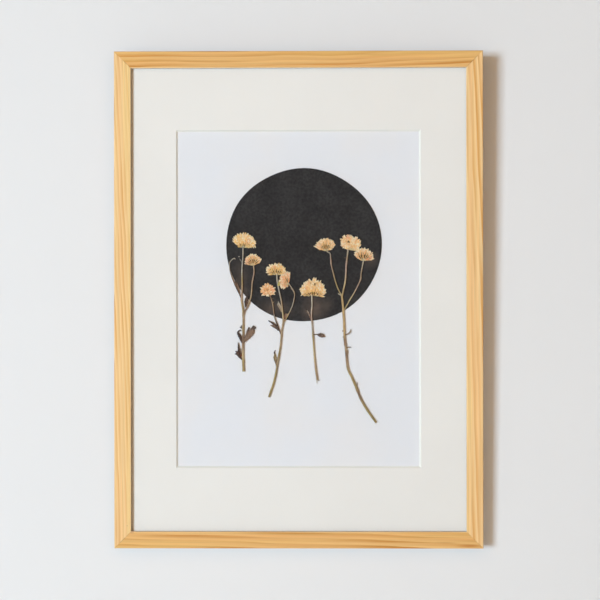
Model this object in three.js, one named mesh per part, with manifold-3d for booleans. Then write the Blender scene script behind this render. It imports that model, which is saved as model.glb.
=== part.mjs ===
// A pressed flower frame: four dried stems with nine small flower heads, laid on a black paper disc
// behind a bevelled mat and a sheet of glass, in a mitred pine frame that hangs on one wall nail.
// Millimetres, +Z up, the front facing -Y. The origin is the middle notch of the sawtooth hanger.
import * as THREE from 'three';
import { mergeVertices } from 'three/addons/utils/BufferGeometryUtils.js';
import Module from 'manifold-3d';

const wasm = await Module();
wasm.setup();

// Rails of the frame.
const FRAME_W = 315.8;
const FRAME_H = 425.6;
const FRAME_D = 18;
const RAIL_W = 14.5;
const REBATE_W = 5.5;
const LIP_T = 1.8;
const OUTER_ROUND = 1.0;
const INNER_ROUND = 0.6;
const MITRE_GAP = 0.05;

// Sheets held in the rebate, from the front to the back.
const LAYER_GAP = 0.05;
const SHEET_CLEARANCE = 0.5;
const GLASS_T = 1.6;
const FLOWER_ROOM = 2.1;
const MAT_T = 1.4;
const PAPER_T = 0.3;
const BOARD_T = 3;

// Window in the mat: the visible paper, with a 45 degree bevel around it.
const WINDOW_W = 207;
const WINDOW_H = 287;
const WINDOW_RISE = 0.6;

// Black paper disc, cut by hand, so its edge wavers a little.
const DISC_R = 66.3;
const DISC_T = 0.22;
const DISC_X = 4.5;
const DISC_Z = 46.9;
const DISC_SIDES = 72;
const DISC_WAVER = [
  { waves: 2, size: 0.56, turn: 0 },
  { waves: 3, size: 0.19, turn: 0 },
  { waves: 5, size: 0.22, turn: 65 },
  { waves: 6, size: 0.12, turn: 110 },
  { waves: 7, size: 0.11, turn: -80 },
];

// Steel point tabs that hold the sheets in.
const TAB_W = 6.5;
const TAB_T = 0.4;
const TAB_REACH = 14.5;
const TAB_BITE = 4.2;
const TAB_TIP = 2.2;
const SHORT_RAIL_TAB_X = 70;
const LONG_RAIL_TAB_X = 110;

// V nails that hold the mitres together, driven in from the back.
const V_NAIL_T = 0.6;
const V_NAIL_LEG = 4.6;
const V_NAIL_H = 6.6;
const V_NAIL_SUNK = 0.4;
const V_NAIL_SET_IN = 3.4;
const V_NAIL_SPREAD = THREE.MathUtils.degToRad(40);

// Sawtooth hanger and its two brads.
const NOTCH_DROP = 8;
const HANGER_L = 44;
const HANGER_TOP = 6.2;
const HANGER_FOOT = -0.6;
const HANGER_T = 0.9;
const HANGER_LIFT = 1.6;
const HANGER_RAISED_L = 26;
const HANGER_JOGGLE_L = 2;
const TOOTH_PITCH = 2.6;
const TOOTH_H = 1.2;
const TOOTH_ARCH = 0.008;
const NOTCHES_EACH_SIDE = 4;
const BRAD_X = 18.6;
const BRAD_Z = 2.8;
const BRAD_R = 0.7;
const BRAD_L = 9;
const BRAD_HEAD_R = 1.7;
const BRAD_HEAD_T = 0.7;

// Fits. PAST is how far a cutting tool runs past the face that it cuts.
const CUT_CLEARANCE = 0.3;
const PRESSED_CLEARANCE = 0.12;
const MERGE_TOLERANCE = 1e-3;
const PAST = 1;

// Depths are measured back from the front face of the rails.
const GLASS_Y = LIP_T + LAYER_GAP;
const GLASS_BACK_Y = GLASS_Y + GLASS_T;
const PAPER_Y = GLASS_BACK_Y + FLOWER_ROOM;
const MAT_Y = PAPER_Y - LAYER_GAP - MAT_T;
const DISC_Y = PAPER_Y - LAYER_GAP - DISC_T;
const BOARD_Y = PAPER_Y + PAPER_T + LAYER_GAP;
const TAB_Y = BOARD_Y + BOARD_T + LAYER_GAP;

// Flowers, stems and leaves lie between the glass and the disc.
const PRESSED_Y = (GLASS_BACK_Y + DISC_Y) / 2;
const PRESSED_T = DISC_Y - GLASS_BACK_Y - 2 * PRESSED_CLEARANCE;
const STEM_STEP = 4;
const STEM_FLATNESS = 0.8;
const LEAF_T = 0.4;
const HEAD_SIDES = 22;
const HEAD_SHOULDER = 0.9;

const SHEET_W = FRAME_W - 2 * (RAIL_W - REBATE_W + SHEET_CLEARANCE);
const SHEET_H = FRAME_H - 2 * (RAIL_W - REBATE_W + SHEET_CLEARANCE);

// Colours of the finishes.
const PINE = 0xe3b47a;
const GLASS = 0xf2f7f6;
const MAT_WHITE = 0xe6e3db;
const PAPER_WHITE = 0xe2e5e7;
const PAPER_BLACK = 0x353535;
const HARDBOARD = 0x8a6b4b;
const STEEL = 0x9c9fa2;
const ZINC = 0xb9b4a4;
const STRAW = 0xb49a72;
const PETAL = 0xecc894;
const DRY_LEAF = 0x6b4f3c;

// Pressed stems: [x, z] points along the middle, from the centre of the frame, cut end first.
const STEMS = {
  stem_1_main: {
    width: 2.4,
    route: [
      [-47.2, -61.6], [-47.8, -44.8], [-47.6, -35.9], [-47.4, -22.6], [-47.6, -9.3], [-49.0, 0.0],
      [-48.4, 10.3], [-48.4, 27.2], [-47.8, 34.1], [-47.5, 45.6],
    ],
  },
  stem_1_right_branch: {
    width: 1.6,
    route: [
      [-47.4, -12.6], [-46.3, -10.2], [-43.6, -5.8], [-41.8, -0.5], [-40.5, 4.0], [-39.7, 14.3],
      [-38.1, 24.1], [-38.8, 31.0],
    ],
  },
  stem_1_left_twig: {
    width: 1.2,
    route: [
      [-48.5, 0.1], [-49.5, 2.3], [-53.4, 10.3], [-56.2, 17.0], [-58.6, 24.1], [-59.2, 30.0],
      [-58.2, 33.2], [-55.4, 35.5], [-54.2, 34.7],
    ],
  },
  stem_2_main: {
    width: 2.2,
    route: [
      [-25.5, -83.6], [-20.7, -69.0], [-17.9, -53.7], [-15.5, -39.4], [-14.5, -27.4], [-13.1, -18.3],
      [-13.8, -9.6], [-14.6, -1.7], [-16.6, 7.4], [-18.2, 15.2], [-18.6, 22.6],
    ],
  },
  stem_2_left_branch: {
    width: 1.4,
    route: [
      [-14.2, -30.6], [-16.6, -25.7], [-17.4, -23.5], [-20.5, -15.5], [-21.6, -7.6], [-22.5, -2.0],
      [-24.3, 3.4],
    ],
  },
  stem_2_right_branch: {
    width: 1.0,
    route: [
      [-13.3, -20.0], [-11.5, -17.5], [-8.8, -12.8], [-5.9, -6.8], [-4.0, -0.5], [-3.4, 5.0],
      [-5.2, 9.0], [-8.6, 15.2],
    ],
  },
  stem_3_main: {
    width: 1.9,
    route: [
      [16.0, -69.0], [14.5, -57.7], [13.3, -45.3], [12.5, -32.9], [11.6, -20.7], [11.1, -12.3],
      [11.6, -4.1], [11.3, 5.0],
    ],
  },
  stem_4_main: {
    width: 2.6,
    route: [
      [66.4, -105.5], [59.7, -95.9], [53.3, -85.2], [49.0, -74.4], [45.2, -65.8], [42.0, -58.3],
      [40.9, -44.9], [39.6, -34.1], [38.7, -15.2], [37.8, -2.7], [37.1, 3.7],
    ],
  },
  stem_4_middle_branch: {
    width: 1.8,
    route: [[37.1, 3.4], [38.8, 9.7], [40.2, 16.9], [41.0, 29.5], [41.8, 36.6], [42.5, 42.6]],
  },
  stem_4_left_branch: {
    width: 1.2,
    route: [
      [37.2, 3.0], [33.5, 10.4], [31.3, 16.9], [29.9, 22.4], [28.2, 29.5], [27.6, 35.2], [27.1, 39.5],
      [22.8, 43.0],
    ],
  },
  stem_4_right_branch: {
    width: 1.2,
    route: [[37.9, -10.0], [43.1, -1.7], [48.1, 6.6], [52.9, 16.4], [53.8, 23.1], [55.9, 34.4]],
  },
};

// What each stem is cut back from: the stem that it grows on, and the flower at its tip.
const STEM_NEIGHBOURS = {
  stem_1_main: { flowers: ['flower_1_main'] },
  stem_1_right_branch: { stems: ['stem_1_main'], flowers: ['flower_1_right'] },
  stem_1_left_twig: { stems: ['stem_1_main'] },
  stem_2_main: { flowers: ['flower_2_main'] },
  stem_2_left_branch: { stems: ['stem_2_main'], flowers: ['flower_2_left'] },
  stem_2_right_branch: { stems: ['stem_2_main'], flowers: ['flower_2_right'] },
  stem_3_main: { flowers: ['flower_3_main'] },
  stem_4_main: {},
  stem_4_middle_branch: { stems: ['stem_4_main'], flowers: ['flower_4_middle'] },
  stem_4_left_branch: { stems: ['stem_4_main', 'stem_4_middle_branch'], flowers: ['flower_4_left'] },
  stem_4_right_branch: { stems: ['stem_4_main'], flowers: ['flower_4_right'] },
};

// Flower heads: a dome above a shallower base, tilted in degrees about the middle of its width.
const FLOWERS = {
  flower_1_main: { x: -46.1, z: 50.4, halfWidth: 10.0, dome: 7.0, base: 5.6, tilt: -14 },
  flower_1_right: { x: -39.2, z: 33.7, halfWidth: 7.3, dome: 6.3, base: 4.0, tilt: 4 },
  flower_2_main: { x: -19.1, z: 25.3, halfWidth: 8.7, dome: 6.5, base: 4.2, tilt: -4 },
  flower_2_left: { x: -26.3, z: 8.3, halfWidth: 6.7, dome: 5.9, base: 5.9, tilt: 0 },
  flower_2_right: { x: -11.0, z: 16.9, halfWidth: 7.4, dome: 4.9, base: 4.0, tilt: 100 },
  flower_3_main: { x: 12.3, z: 7.2, halfWidth: 11.3, dome: 11.2, base: 5.6, tilt: 0 },
  flower_4_left: { x: 22.8, z: 45.6, halfWidth: 8.8, dome: 6.6, base: 3.6, tilt: 9 },
  flower_4_middle: { x: 44.6, z: 48.8, halfWidth: 9.0, dome: 8.0, base: 7.6, tilt: -18 },
  flower_4_right: { x: 56.4, z: 38.0, halfWidth: 8.6, dome: 6.2, base: 4.6, tilt: -14 },
};

// Where two flower heads, or a head and a passing stem, lie side by side.
const FLOWER_NEIGHBOURS = {
  flower_2_right: { stems: ['stem_2_main'], flowers: ['flower_2_main'] },
  flower_4_right: { flowers: ['flower_4_middle'] },
};

// Dried leaves and bracts: the outline of each, and the stems that it is cut back from.
const LEAVES = {
  leaf_1_fork: {
    stems: ['stem_1_main', 'stem_1_right_branch'],
    outline: [[-45.6, -6.4], [-46.6, 0.1], [-44.2, 3.1], [-42.9, 1.6], [-43.6, -2.6]],
  },
  leaf_1_right: {
    stems: ['stem_1_main'],
    outline: [
      [-47.0, -36.4], [-45.1, -29.9], [-42.8, -23.1], [-42.1, -26.1], [-39.1, -21.8], [-36.7, -23.9],
      [-39.2, -27.4], [-39.3, -30.8], [-43.8, -34.2],
    ],
  },
  leaf_1_left: {
    stems: ['stem_1_main'],
    outline: [
      [-48.1, -36.4], [-50.7, -33.4], [-53.0, -28.0], [-49.6, -25.7], [-50.2, -28.2], [-48.3, -31.2],
    ],
  },
  leaf_1_low: {
    stems: ['stem_1_main'],
    outline: [
      [-48.4, -51.2], [-52.8, -47.8], [-55.1, -47.0], [-53.9, -44.1], [-52.2, -43.7], [-52.1, -36.4],
      [-50.9, -39.0], [-50.3, -43.7], [-48.4, -45.8],
    ],
  },
  leaf_1_twig: {
    stems: ['stem_1_main', 'stem_1_left_twig'],
    outline: [
      [-50.6, 5.4], [-53.4, 11.6], [-55.0, 15.6], [-53.6, 16.4], [-51.7, 11.7], [-50.2, 6.6],
    ],
  },
  leaf_2_bract: {
    stems: ['stem_2_main'],
    outline: [
      [-14.2, -10.8], [-16.7, -7.2], [-18.4, -4.4], [-17.2, -1.7], [-15.8, -4.2], [-14.2, -8.2],
    ],
  },
  leaf_2_fork: {
    stems: ['stem_2_main', 'stem_2_right_branch'],
    outline: [[-12.0, -16.4], [-11.7, -13.8], [-10.7, -11.8], [-9.3, -12.2], [-10.4, -14.4]],
  },
  leaf_2_forked: {
    stems: ['stem_2_main', 'stem_2_left_branch'],
    outline: [
      [-17.4, -26.0], [-19.3, -23.8], [-23.9, -22.6], [-23.4, -21.8], [-20.6, -21.8], [-25.8, -18.3],
      [-24.5, -18.0], [-21.0, -19.7], [-18.4, -22.6],
    ],
  },
  leaf_2_low: {
    stems: ['stem_2_main'],
    outline: [
      [-18.6, -57.9], [-20.4, -53.1], [-21.3, -48.8], [-20.6, -43.5], [-19.5, -45.8], [-18.7, -50.6],
    ],
  },
  leaf_3_side: {
    stems: ['stem_3_main'],
    outline: [
      [12.6, -29.8], [16.5, -29.5], [18.9, -28.6], [21.0, -29.5], [22.7, -31.7], [20.6, -32.8],
      [18.0, -32.1], [16.3, -30.6], [12.6, -30.8],
    ],
  },
  leaf_3_bract: {
    stems: ['stem_3_main'],
    outline: [[10.8, -14.8], [8.8, -12.2], [7.6, -9.4], [9.1, -10.6], [10.8, -12.8]],
  },
  twig_4_upper: {
    stems: ['stem_4_main'],
    outline: [
      [39.0, -30.9], [41.9, -30.3], [45.1, -27.6], [44.6, -25.5], [43.9, -25.8], [44.0, -27.3],
      [41.5, -29.3], [39.0, -29.9],
    ],
  },
  twig_4_lower: {
    stems: ['stem_4_main'],
    outline: [[40.2, -42.4], [42.6, -41.5], [45.2, -41.2], [45.2, -40.2], [42.4, -40.5], [40.2, -41.2]],
  },
};

function finish(color, roughness, metalness = 0) {
  return new THREE.MeshStandardMaterial({ color, roughness, metalness });
}

function piece(name, geometry, material) {
  const mesh = new THREE.Mesh(geometry, material);
  mesh.name = name;
  return mesh;
}

// A closed geometry as a solid that can be cut, and back.
function toSolid(geometry) {
  geometry.deleteAttribute('normal');
  geometry.deleteAttribute('uv');
  const merged = mergeVertices(geometry, MERGE_TOLERANCE);
  return new wasm.Manifold(new wasm.Mesh({
    numProp: 3,
    vertProperties: merged.attributes.position.array,
    triVerts: new Uint32Array(merged.index.array),
  }));
}

function toGeometry(solid) {
  const mesh = solid.getMesh();
  const geometry = new THREE.BufferGeometry();
  geometry.setAttribute('position', new THREE.BufferAttribute(mesh.vertProperties, 3));
  geometry.setIndex(new THREE.BufferAttribute(mesh.triVerts, 1));
  geometry.computeVertexNormals();
  return geometry;
}

function cut(geometry, tools) {
  let solid = toSolid(geometry);
  for (const tool of tools) solid = solid.subtract(toSolid(tool));
  return toGeometry(solid);
}

function polygon(points) {
  return new THREE.Shape(points.map(([x, z]) => new THREE.Vector2(x, z)));
}

function rectangle(width, height, centreZ = 0) {
  const halfW = width / 2;
  const low = centreZ - height / 2;
  const high = centreZ + height / 2;
  return polygon([[-halfW, low], [halfW, low], [halfW, high], [-halfW, high]]);
}

// An outline drawn in x and z, made solid from depth front back through its thickness.
function slab(outline, front, thickness, curveSegments = 6) {
  const geometry = new THREE.ExtrudeGeometry(outline, {
    depth: thickness,
    bevelEnabled: false,
    curveSegments,
  });
  geometry.rotateX(Math.PI / 2);
  return geometry.translate(0, front + thickness, 0);
}

// The rail's section: x is the depth from its front face, y the distance from its outer edge.
function railSection() {
  const section = new THREE.Shape();
  section.moveTo(OUTER_ROUND, 0);
  section.lineTo(FRAME_D, 0);
  section.lineTo(FRAME_D, RAIL_W - REBATE_W);
  section.lineTo(LIP_T, RAIL_W - REBATE_W);
  section.lineTo(LIP_T, RAIL_W);
  section.lineTo(INNER_ROUND, RAIL_W);
  section.absarc(INNER_ROUND, RAIL_W - INNER_ROUND, INNER_ROUND, Math.PI / 2, Math.PI, false);
  section.lineTo(0, OUTER_ROUND);
  section.absarc(OUTER_ROUND, OUTER_ROUND, OUTER_ROUND, Math.PI, 1.5 * Math.PI, false);
  return section;
}

// The waste beyond the mitre at one end of a rail; end is -1 or 1.
function mitreWaste(length, end) {
  const heel = length / 2 - MITRE_GAP * Math.SQRT1_2;
  const beyond = heel + RAIL_W;
  const points = [
    [heel + PAST, -PAST],
    [heel - RAIL_W - PAST, RAIL_W + PAST],
    [beyond, RAIL_W + PAST],
    [beyond, -PAST],
  ];
  const outline = polygon(points.map(([x, z]) => [end * x, z]));
  return slab(outline, -PAST, FRAME_D + 2 * PAST);
}

// A V drawn about the mitre line; its point is V_NAIL_SET_IN from both outer edges.
function vOutline(thickness, extraLeg = 0) {
  const along = Math.PI / 4;
  const apexReach = thickness / 2 / Math.sin(V_NAIL_SPREAD);
  const leg = V_NAIL_LEG + extraLeg;
  const from = (reach, angle) => [
    V_NAIL_SET_IN + reach * Math.cos(angle),
    V_NAIL_SET_IN + reach * Math.sin(angle),
  ];
  const legEnd = (angle, side) => {
    const [x, z] = from(leg, angle);
    return [x - side * thickness / 2 * Math.sin(angle), z + side * thickness / 2 * Math.cos(angle)];
  };
  const low = along - V_NAIL_SPREAD;
  const high = along + V_NAIL_SPREAD;
  return [
    from(-apexReach, along),
    legEnd(low, -1),
    legEnd(low, 1),
    from(apexReach, along),
    legEnd(high, -1),
    legEnd(high, 1),
  ];
}

function vNail(length) {
  const outline = vOutline(V_NAIL_T).map(([x, z]) => [x - length / 2, z]);
  return slab(polygon(outline), FRAME_D - V_NAIL_SUNK - V_NAIL_H, V_NAIL_H);
}

function vGroove(length, end) {
  const outline = vOutline(V_NAIL_T + 2 * CUT_CLEARANCE, CUT_CLEARANCE);
  const placed = outline.map(([x, z]) => [end * (length / 2 - x), z]);
  const depth = V_NAIL_SUNK + V_NAIL_H + CUT_CLEARANCE;
  return slab(polygon(placed), FRAME_D - depth, depth + PAST);
}

// A point tab: its tip is bitten into the rebate wall and its round end lies over the board.
function tabOutline(grow = 0) {
  const half = TAB_W / 2 + grow;
  const wall = RAIL_W - REBATE_W;
  const outline = new THREE.Shape();
  outline.moveTo(half, wall - TAB_BITE + TAB_TIP - grow);
  outline.lineTo(half, wall + TAB_REACH - half);
  outline.absarc(0, wall + TAB_REACH - half, half, 0, Math.PI, false);
  outline.lineTo(-half, wall - TAB_BITE + TAB_TIP - grow);
  outline.lineTo(0, wall - TAB_BITE - grow);
  return outline;
}

function pointTab() {
  return slab(tabOutline(), TAB_Y, TAB_T, 4);
}

function tabSlot(x) {
  const slot = slab(tabOutline(CUT_CLEARANCE), TAB_Y - CUT_CLEARANCE, TAB_T + 2 * CUT_CLEARANCE, 4);
  return slot.translate(x, 0, 0);
}

function bradHole(x) {
  const depth = BRAD_L + CUT_CLEARANCE;
  const radius = BRAD_R + CUT_CLEARANCE;
  const hole = new THREE.CylinderGeometry(radius, radius, depth + PAST, 12);
  return hole.translate(x, FRAME_D + PAST / 2 - depth / 2, NOTCH_DROP - BRAD_Z);
}

// A mitred rail lying along x with its outer edge at z 0.
function rail(length, tabXs, bradXs) {
  const geometry = new THREE.ExtrudeGeometry(railSection(), {
    depth: length,
    bevelEnabled: false,
    curveSegments: 4,
  });
  const alongX = new THREE.Matrix4().makeBasis(
    new THREE.Vector3(0, 1, 0),
    new THREE.Vector3(0, 0, 1),
    new THREE.Vector3(1, 0, 0),
  );
  geometry.applyMatrix4(alongX);
  geometry.translate(-length / 2, 0, 0);
  return cut(geometry, [
    mitreWaste(length, -1),
    mitreWaste(length, 1),
    vGroove(length, -1),
    vGroove(length, 1),
    ...tabXs.map(tabSlot),
    ...bradXs.map(bradHole),
  ]);
}

// One side of the frame: its rail, the V nail at its left end and its point tabs.
function side(name, turn, x, z, length, tabX, bradXs = []) {
  const tabXs = [-tabX, tabX];
  const group = new THREE.Group();
  group.position.set(x, 0, z);
  group.rotation.y = turn;
  group.add(piece(`rail_${name}`, rail(length, tabXs, bradXs), finish(PINE, 0.6)));
  group.add(piece(`v_nail_${name}`, vNail(length), finish(STEEL, 0.4, 1)));
  tabXs.forEach((place, index) => {
    const tab = piece(`point_tab_${name}_${index + 1}`, pointTab(), finish(STEEL, 0.4, 1));
    tab.position.x = place;
    group.add(tab);
  });
  return group;
}

function frameSides() {
  const halfW = FRAME_W / 2;
  const halfH = FRAME_H / 2;
  return [
    side('bottom', 0, 0, -halfH, FRAME_W, SHORT_RAIL_TAB_X),
    side('right', -Math.PI / 2, halfW, 0, FRAME_H, LONG_RAIL_TAB_X),
    side('top', Math.PI, 0, halfH, FRAME_W, SHORT_RAIL_TAB_X, [-BRAD_X, BRAD_X]),
    side('left', Math.PI / 2, -halfW, 0, FRAME_H, LONG_RAIL_TAB_X),
  ];
}

function sheet(front, thickness) {
  return slab(rectangle(SHEET_W, SHEET_H), front, thickness);
}

// The mat, with a window that widens at 45 degrees towards the front.
function matBoard() {
  const window = new THREE.ExtrudeGeometry(rectangle(WINDOW_W, WINDOW_H, WINDOW_RISE), {
    depth: PAST,
    bevelEnabled: true,
    bevelThickness: MAT_T + LAYER_GAP,
    bevelSize: MAT_T + LAYER_GAP,
    bevelSegments: 1,
  });
  window.rotateX(Math.PI / 2);
  window.translate(0, PAPER_Y - MAT_T - LAYER_GAP, 0);
  return cut(sheet(MAT_Y, MAT_T), [window]);
}

function paperDisc() {
  const points = [];
  for (let i = 0; i < DISC_SIDES; i += 1) {
    const angle = (2 * Math.PI * i) / DISC_SIDES;
    let radius = DISC_R;
    for (const { waves, size, turn } of DISC_WAVER) {
      radius += size * Math.cos(waves * angle - THREE.MathUtils.degToRad(turn));
    }
    points.push([DISC_X + radius * Math.cos(angle), DISC_Z + radius * Math.sin(angle)]);
  }
  return slab(polygon(points), DISC_Y, DISC_T);
}

// A route that runs on straight past both of its ends by the given length.
function lengthened(points, extra) {
  const before = points[0].clone().sub(points[1]).setLength(extra).add(points[0]);
  const last = points.at(-1);
  const after = last.clone().sub(points.at(-2)).setLength(extra).add(last);
  return [before, ...points, after];
}

// A stem: an oval tube along its route, grown all round when it is a cutting tool.
function stem({ route, width }, grow = 0) {
  const thickness = Math.min(width * STEM_FLATNESS, PRESSED_T);
  const points = route.map(([x, z]) => new THREE.Vector3(x, PRESSED_Y, z));
  const curve = new THREE.CatmullRomCurve3(grow > 0 ? lengthened(points, grow) : points);
  const section = new THREE.Shape();
  section.absellipse(0, 0, thickness / 2 + grow, width / 2 + grow, 0, 2 * Math.PI, false, 0);
  return new THREE.ExtrudeGeometry(section, {
    extrudePath: curve,
    steps: Math.ceil(curve.getLength() / STEM_STEP),
    curveSegments: 4,
  });
}

// A flower head, flattened, with a rounded rim.
function flower({ x, z, halfWidth, dome, base, tilt }, grow = 0) {
  const turn = THREE.MathUtils.degToRad(tilt);
  const points = [];
  for (let i = 0; i < HEAD_SIDES; i += 1) {
    const angle = (2 * Math.PI * i) / HEAD_SIDES;
    const across = (halfWidth + grow) * Math.cos(angle);
    const up = (Math.sin(angle) > 0 ? dome + grow : base + grow) * Math.sin(angle);
    points.push([
      x + across * Math.cos(turn) - up * Math.sin(turn),
      z + across * Math.sin(turn) + up * Math.cos(turn),
    ]);
  }
  const rim = PRESSED_T / 3;
  const geometry = new THREE.ExtrudeGeometry(polygon(points), {
    depth: PRESSED_T - 2 * rim,
    bevelEnabled: true,
    bevelThickness: rim + grow,
    bevelSize: HEAD_SHOULDER,
    bevelOffset: -HEAD_SHOULDER,
    bevelSegments: 2,
  });
  geometry.rotateX(Math.PI / 2);
  return geometry.translate(0, PRESSED_Y + PRESSED_T / 2 - rim, 0);
}

// The same, as tools that leave the clearance around the named stems and flowers.
function toolsFor({ stems = [], flowers = [] }) {
  return [
    ...stems.map((name) => stem(STEMS[name], CUT_CLEARANCE)),
    ...flowers.map((name) => flower(FLOWERS[name], CUT_CLEARANCE)),
  ];
}

function stems() {
  return Object.entries(STEMS).map(([name, shape]) => {
    return piece(name, cut(stem(shape), toolsFor(STEM_NEIGHBOURS[name])), finish(STRAW, 0.8));
  });
}

function flowers() {
  return Object.entries(FLOWERS).map(([name, shape]) => {
    return piece(name, cut(flower(shape), toolsFor(FLOWER_NEIGHBOURS[name] ?? {})), finish(PETAL, 0.85));
  });
}

function leaves() {
  return Object.entries(LEAVES).map(([name, { outline, stems: grownOn }]) => {
    const blade = slab(polygon(outline), PRESSED_Y, LEAF_T);
    return piece(name, cut(blade, toolsFor({ stems: grownOn })), finish(DRY_LEAF, 0.85));
  });
}

// The bent strip of the hanger, seen from above: flat ends and a middle raised off the wood.
function hangerStrip() {
  const endY = -HANGER_LIFT + LAYER_GAP;
  const bend = Math.atan2(-endY, HANGER_JOGGLE_L);
  const shift = (HANGER_T / 2) * Math.tan(bend / 2);
  const half = HANGER_T / 2;
  const raisedX = HANGER_RAISED_L / 2;
  const flatX = raisedX + HANGER_JOGGLE_L;
  const woodSide = [
    [-HANGER_L / 2, endY - half],
    [-flatX + shift, endY - half],
    [-raisedX + shift, -half],
  ];
  const wallSide = [
    [-raisedX - shift, half],
    [-flatX - shift, endY + half],
    [-HANGER_L / 2, endY + half],
  ];
  const mirror = (points) => points.map(([x, y]) => [-x, y]).reverse();
  const outline = [...woodSide, ...mirror(woodSide), ...mirror(wallSide), ...wallSide];
  const tall = HANGER_TOP + 2 * PAST + TOOTH_H + NOTCHES_EACH_SIDE;
  const strip = new THREE.ExtrudeGeometry(polygon(outline), { depth: tall, bevelEnabled: false });
  return strip.translate(0, 0, HANGER_TOP + PAST - tall);
}

// The hanger seen from behind: teeth along the bottom, the middle notch highest and at z 0.
function hangerFace() {
  const outline = [
    [-HANGER_L / 2, HANGER_TOP],
    [-HANGER_L / 2, HANGER_FOOT],
    [-HANGER_RAISED_L / 2, HANGER_FOOT],
  ];
  const arch = (x) => -TOOTH_ARCH * x * x;
  for (let i = -NOTCHES_EACH_SIDE; i <= NOTCHES_EACH_SIDE; i += 1) {
    const notchX = i * TOOTH_PITCH;
    const toothX = notchX - TOOTH_PITCH / 2;
    outline.push([toothX, arch(toothX) - TOOTH_H], [notchX, arch(notchX)]);
  }
  const lastToothX = (NOTCHES_EACH_SIDE + 0.5) * TOOTH_PITCH;
  outline.push([lastToothX, arch(lastToothX) - TOOTH_H]);
  outline.push([HANGER_RAISED_L / 2, HANGER_FOOT], [HANGER_L / 2, HANGER_FOOT], [HANGER_L / 2, HANGER_TOP]);
  return polygon(outline);
}

function sawtoothHanger() {
  const deep = HANGER_LIFT + HANGER_T + 2 * PAST;
  const face = slab(hangerFace(), -HANGER_LIFT - HANGER_T - PAST, deep);
  const plate = toSolid(hangerStrip()).intersect(toSolid(face));
  const holes = [-BRAD_X, BRAD_X].map((x) => {
    const hole = new THREE.CylinderGeometry(BRAD_R + CUT_CLEARANCE, BRAD_R + CUT_CLEARANCE, deep, 12);
    return toSolid(hole.translate(x, -HANGER_LIFT, BRAD_Z));
  });
  return toGeometry(plate.subtract(holes[0]).subtract(holes[1]));
}

function brad() {
  const seat = -HANGER_LIFT + HANGER_T / 2 + 2 * LAYER_GAP;
  const profile = [
    [0, seat - HANGER_T - BRAD_L],
    [BRAD_R, seat - HANGER_T - BRAD_L + 2 * BRAD_R],
    [BRAD_R, seat],
    [BRAD_HEAD_R, seat],
    [BRAD_HEAD_R, seat + BRAD_HEAD_T / 2],
    [BRAD_HEAD_R - BRAD_HEAD_T / 2, seat + BRAD_HEAD_T],
    [0, seat + BRAD_HEAD_T],
  ];
  return new THREE.LatheGeometry(profile.map(([x, y]) => new THREE.Vector2(x, y)), 12);
}

function hangerPieces() {
  const pieces = [piece('sawtooth_hanger', sawtoothHanger(), finish(ZINC, 0.4, 1))];
  [-BRAD_X, BRAD_X].forEach((x, index) => {
    const mesh = piece(`hanger_brad_${index + 1}`, brad(), finish(STEEL, 0.4, 1));
    mesh.position.set(x, 0, BRAD_Z);
    pieces.push(mesh);
  });
  return pieces;
}

// Everything but the hanger is placed from the centre of the frame's front face.
const picture = new THREE.Group();
picture.position.set(0, -FRAME_D - HANGER_LIFT - HANGER_T / 2, NOTCH_DROP - FRAME_H / 2);
picture.add(...frameSides());
picture.add(piece('glazing', sheet(GLASS_Y, GLASS_T), finish(GLASS, 0.05)));
picture.add(piece('mat_board', matBoard(), finish(MAT_WHITE, 0.95)));
picture.add(piece('backing_paper', sheet(PAPER_Y, PAPER_T), finish(PAPER_WHITE, 0.95)));
picture.add(piece('black_paper_disc', paperDisc(), finish(PAPER_BLACK, 0.95)));
picture.add(piece('backing_board', sheet(BOARD_Y, BOARD_T), finish(HARDBOARD, 0.8)));
picture.add(...stems(), ...flowers(), ...leaves());

const flowerFrame = new THREE.Group();
flowerFrame.add(picture, ...hangerPieces());

export default flowerFrame;
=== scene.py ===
"""Dried flowers, paper, glass and pine for a pressed flower frame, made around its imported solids.

Lengths in the tables are millimetres, from the middle of the frame: x to the right, z up. Angles are
degrees, clockwise from straight up, as the front of the frame is seen.
"""
import math
import random

import bmesh
import bpy
from bpy.props import FloatProperty, FloatVectorProperty, IntProperty, PointerProperty
from mathutils import Matrix, Vector, kdtree, noise


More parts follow.
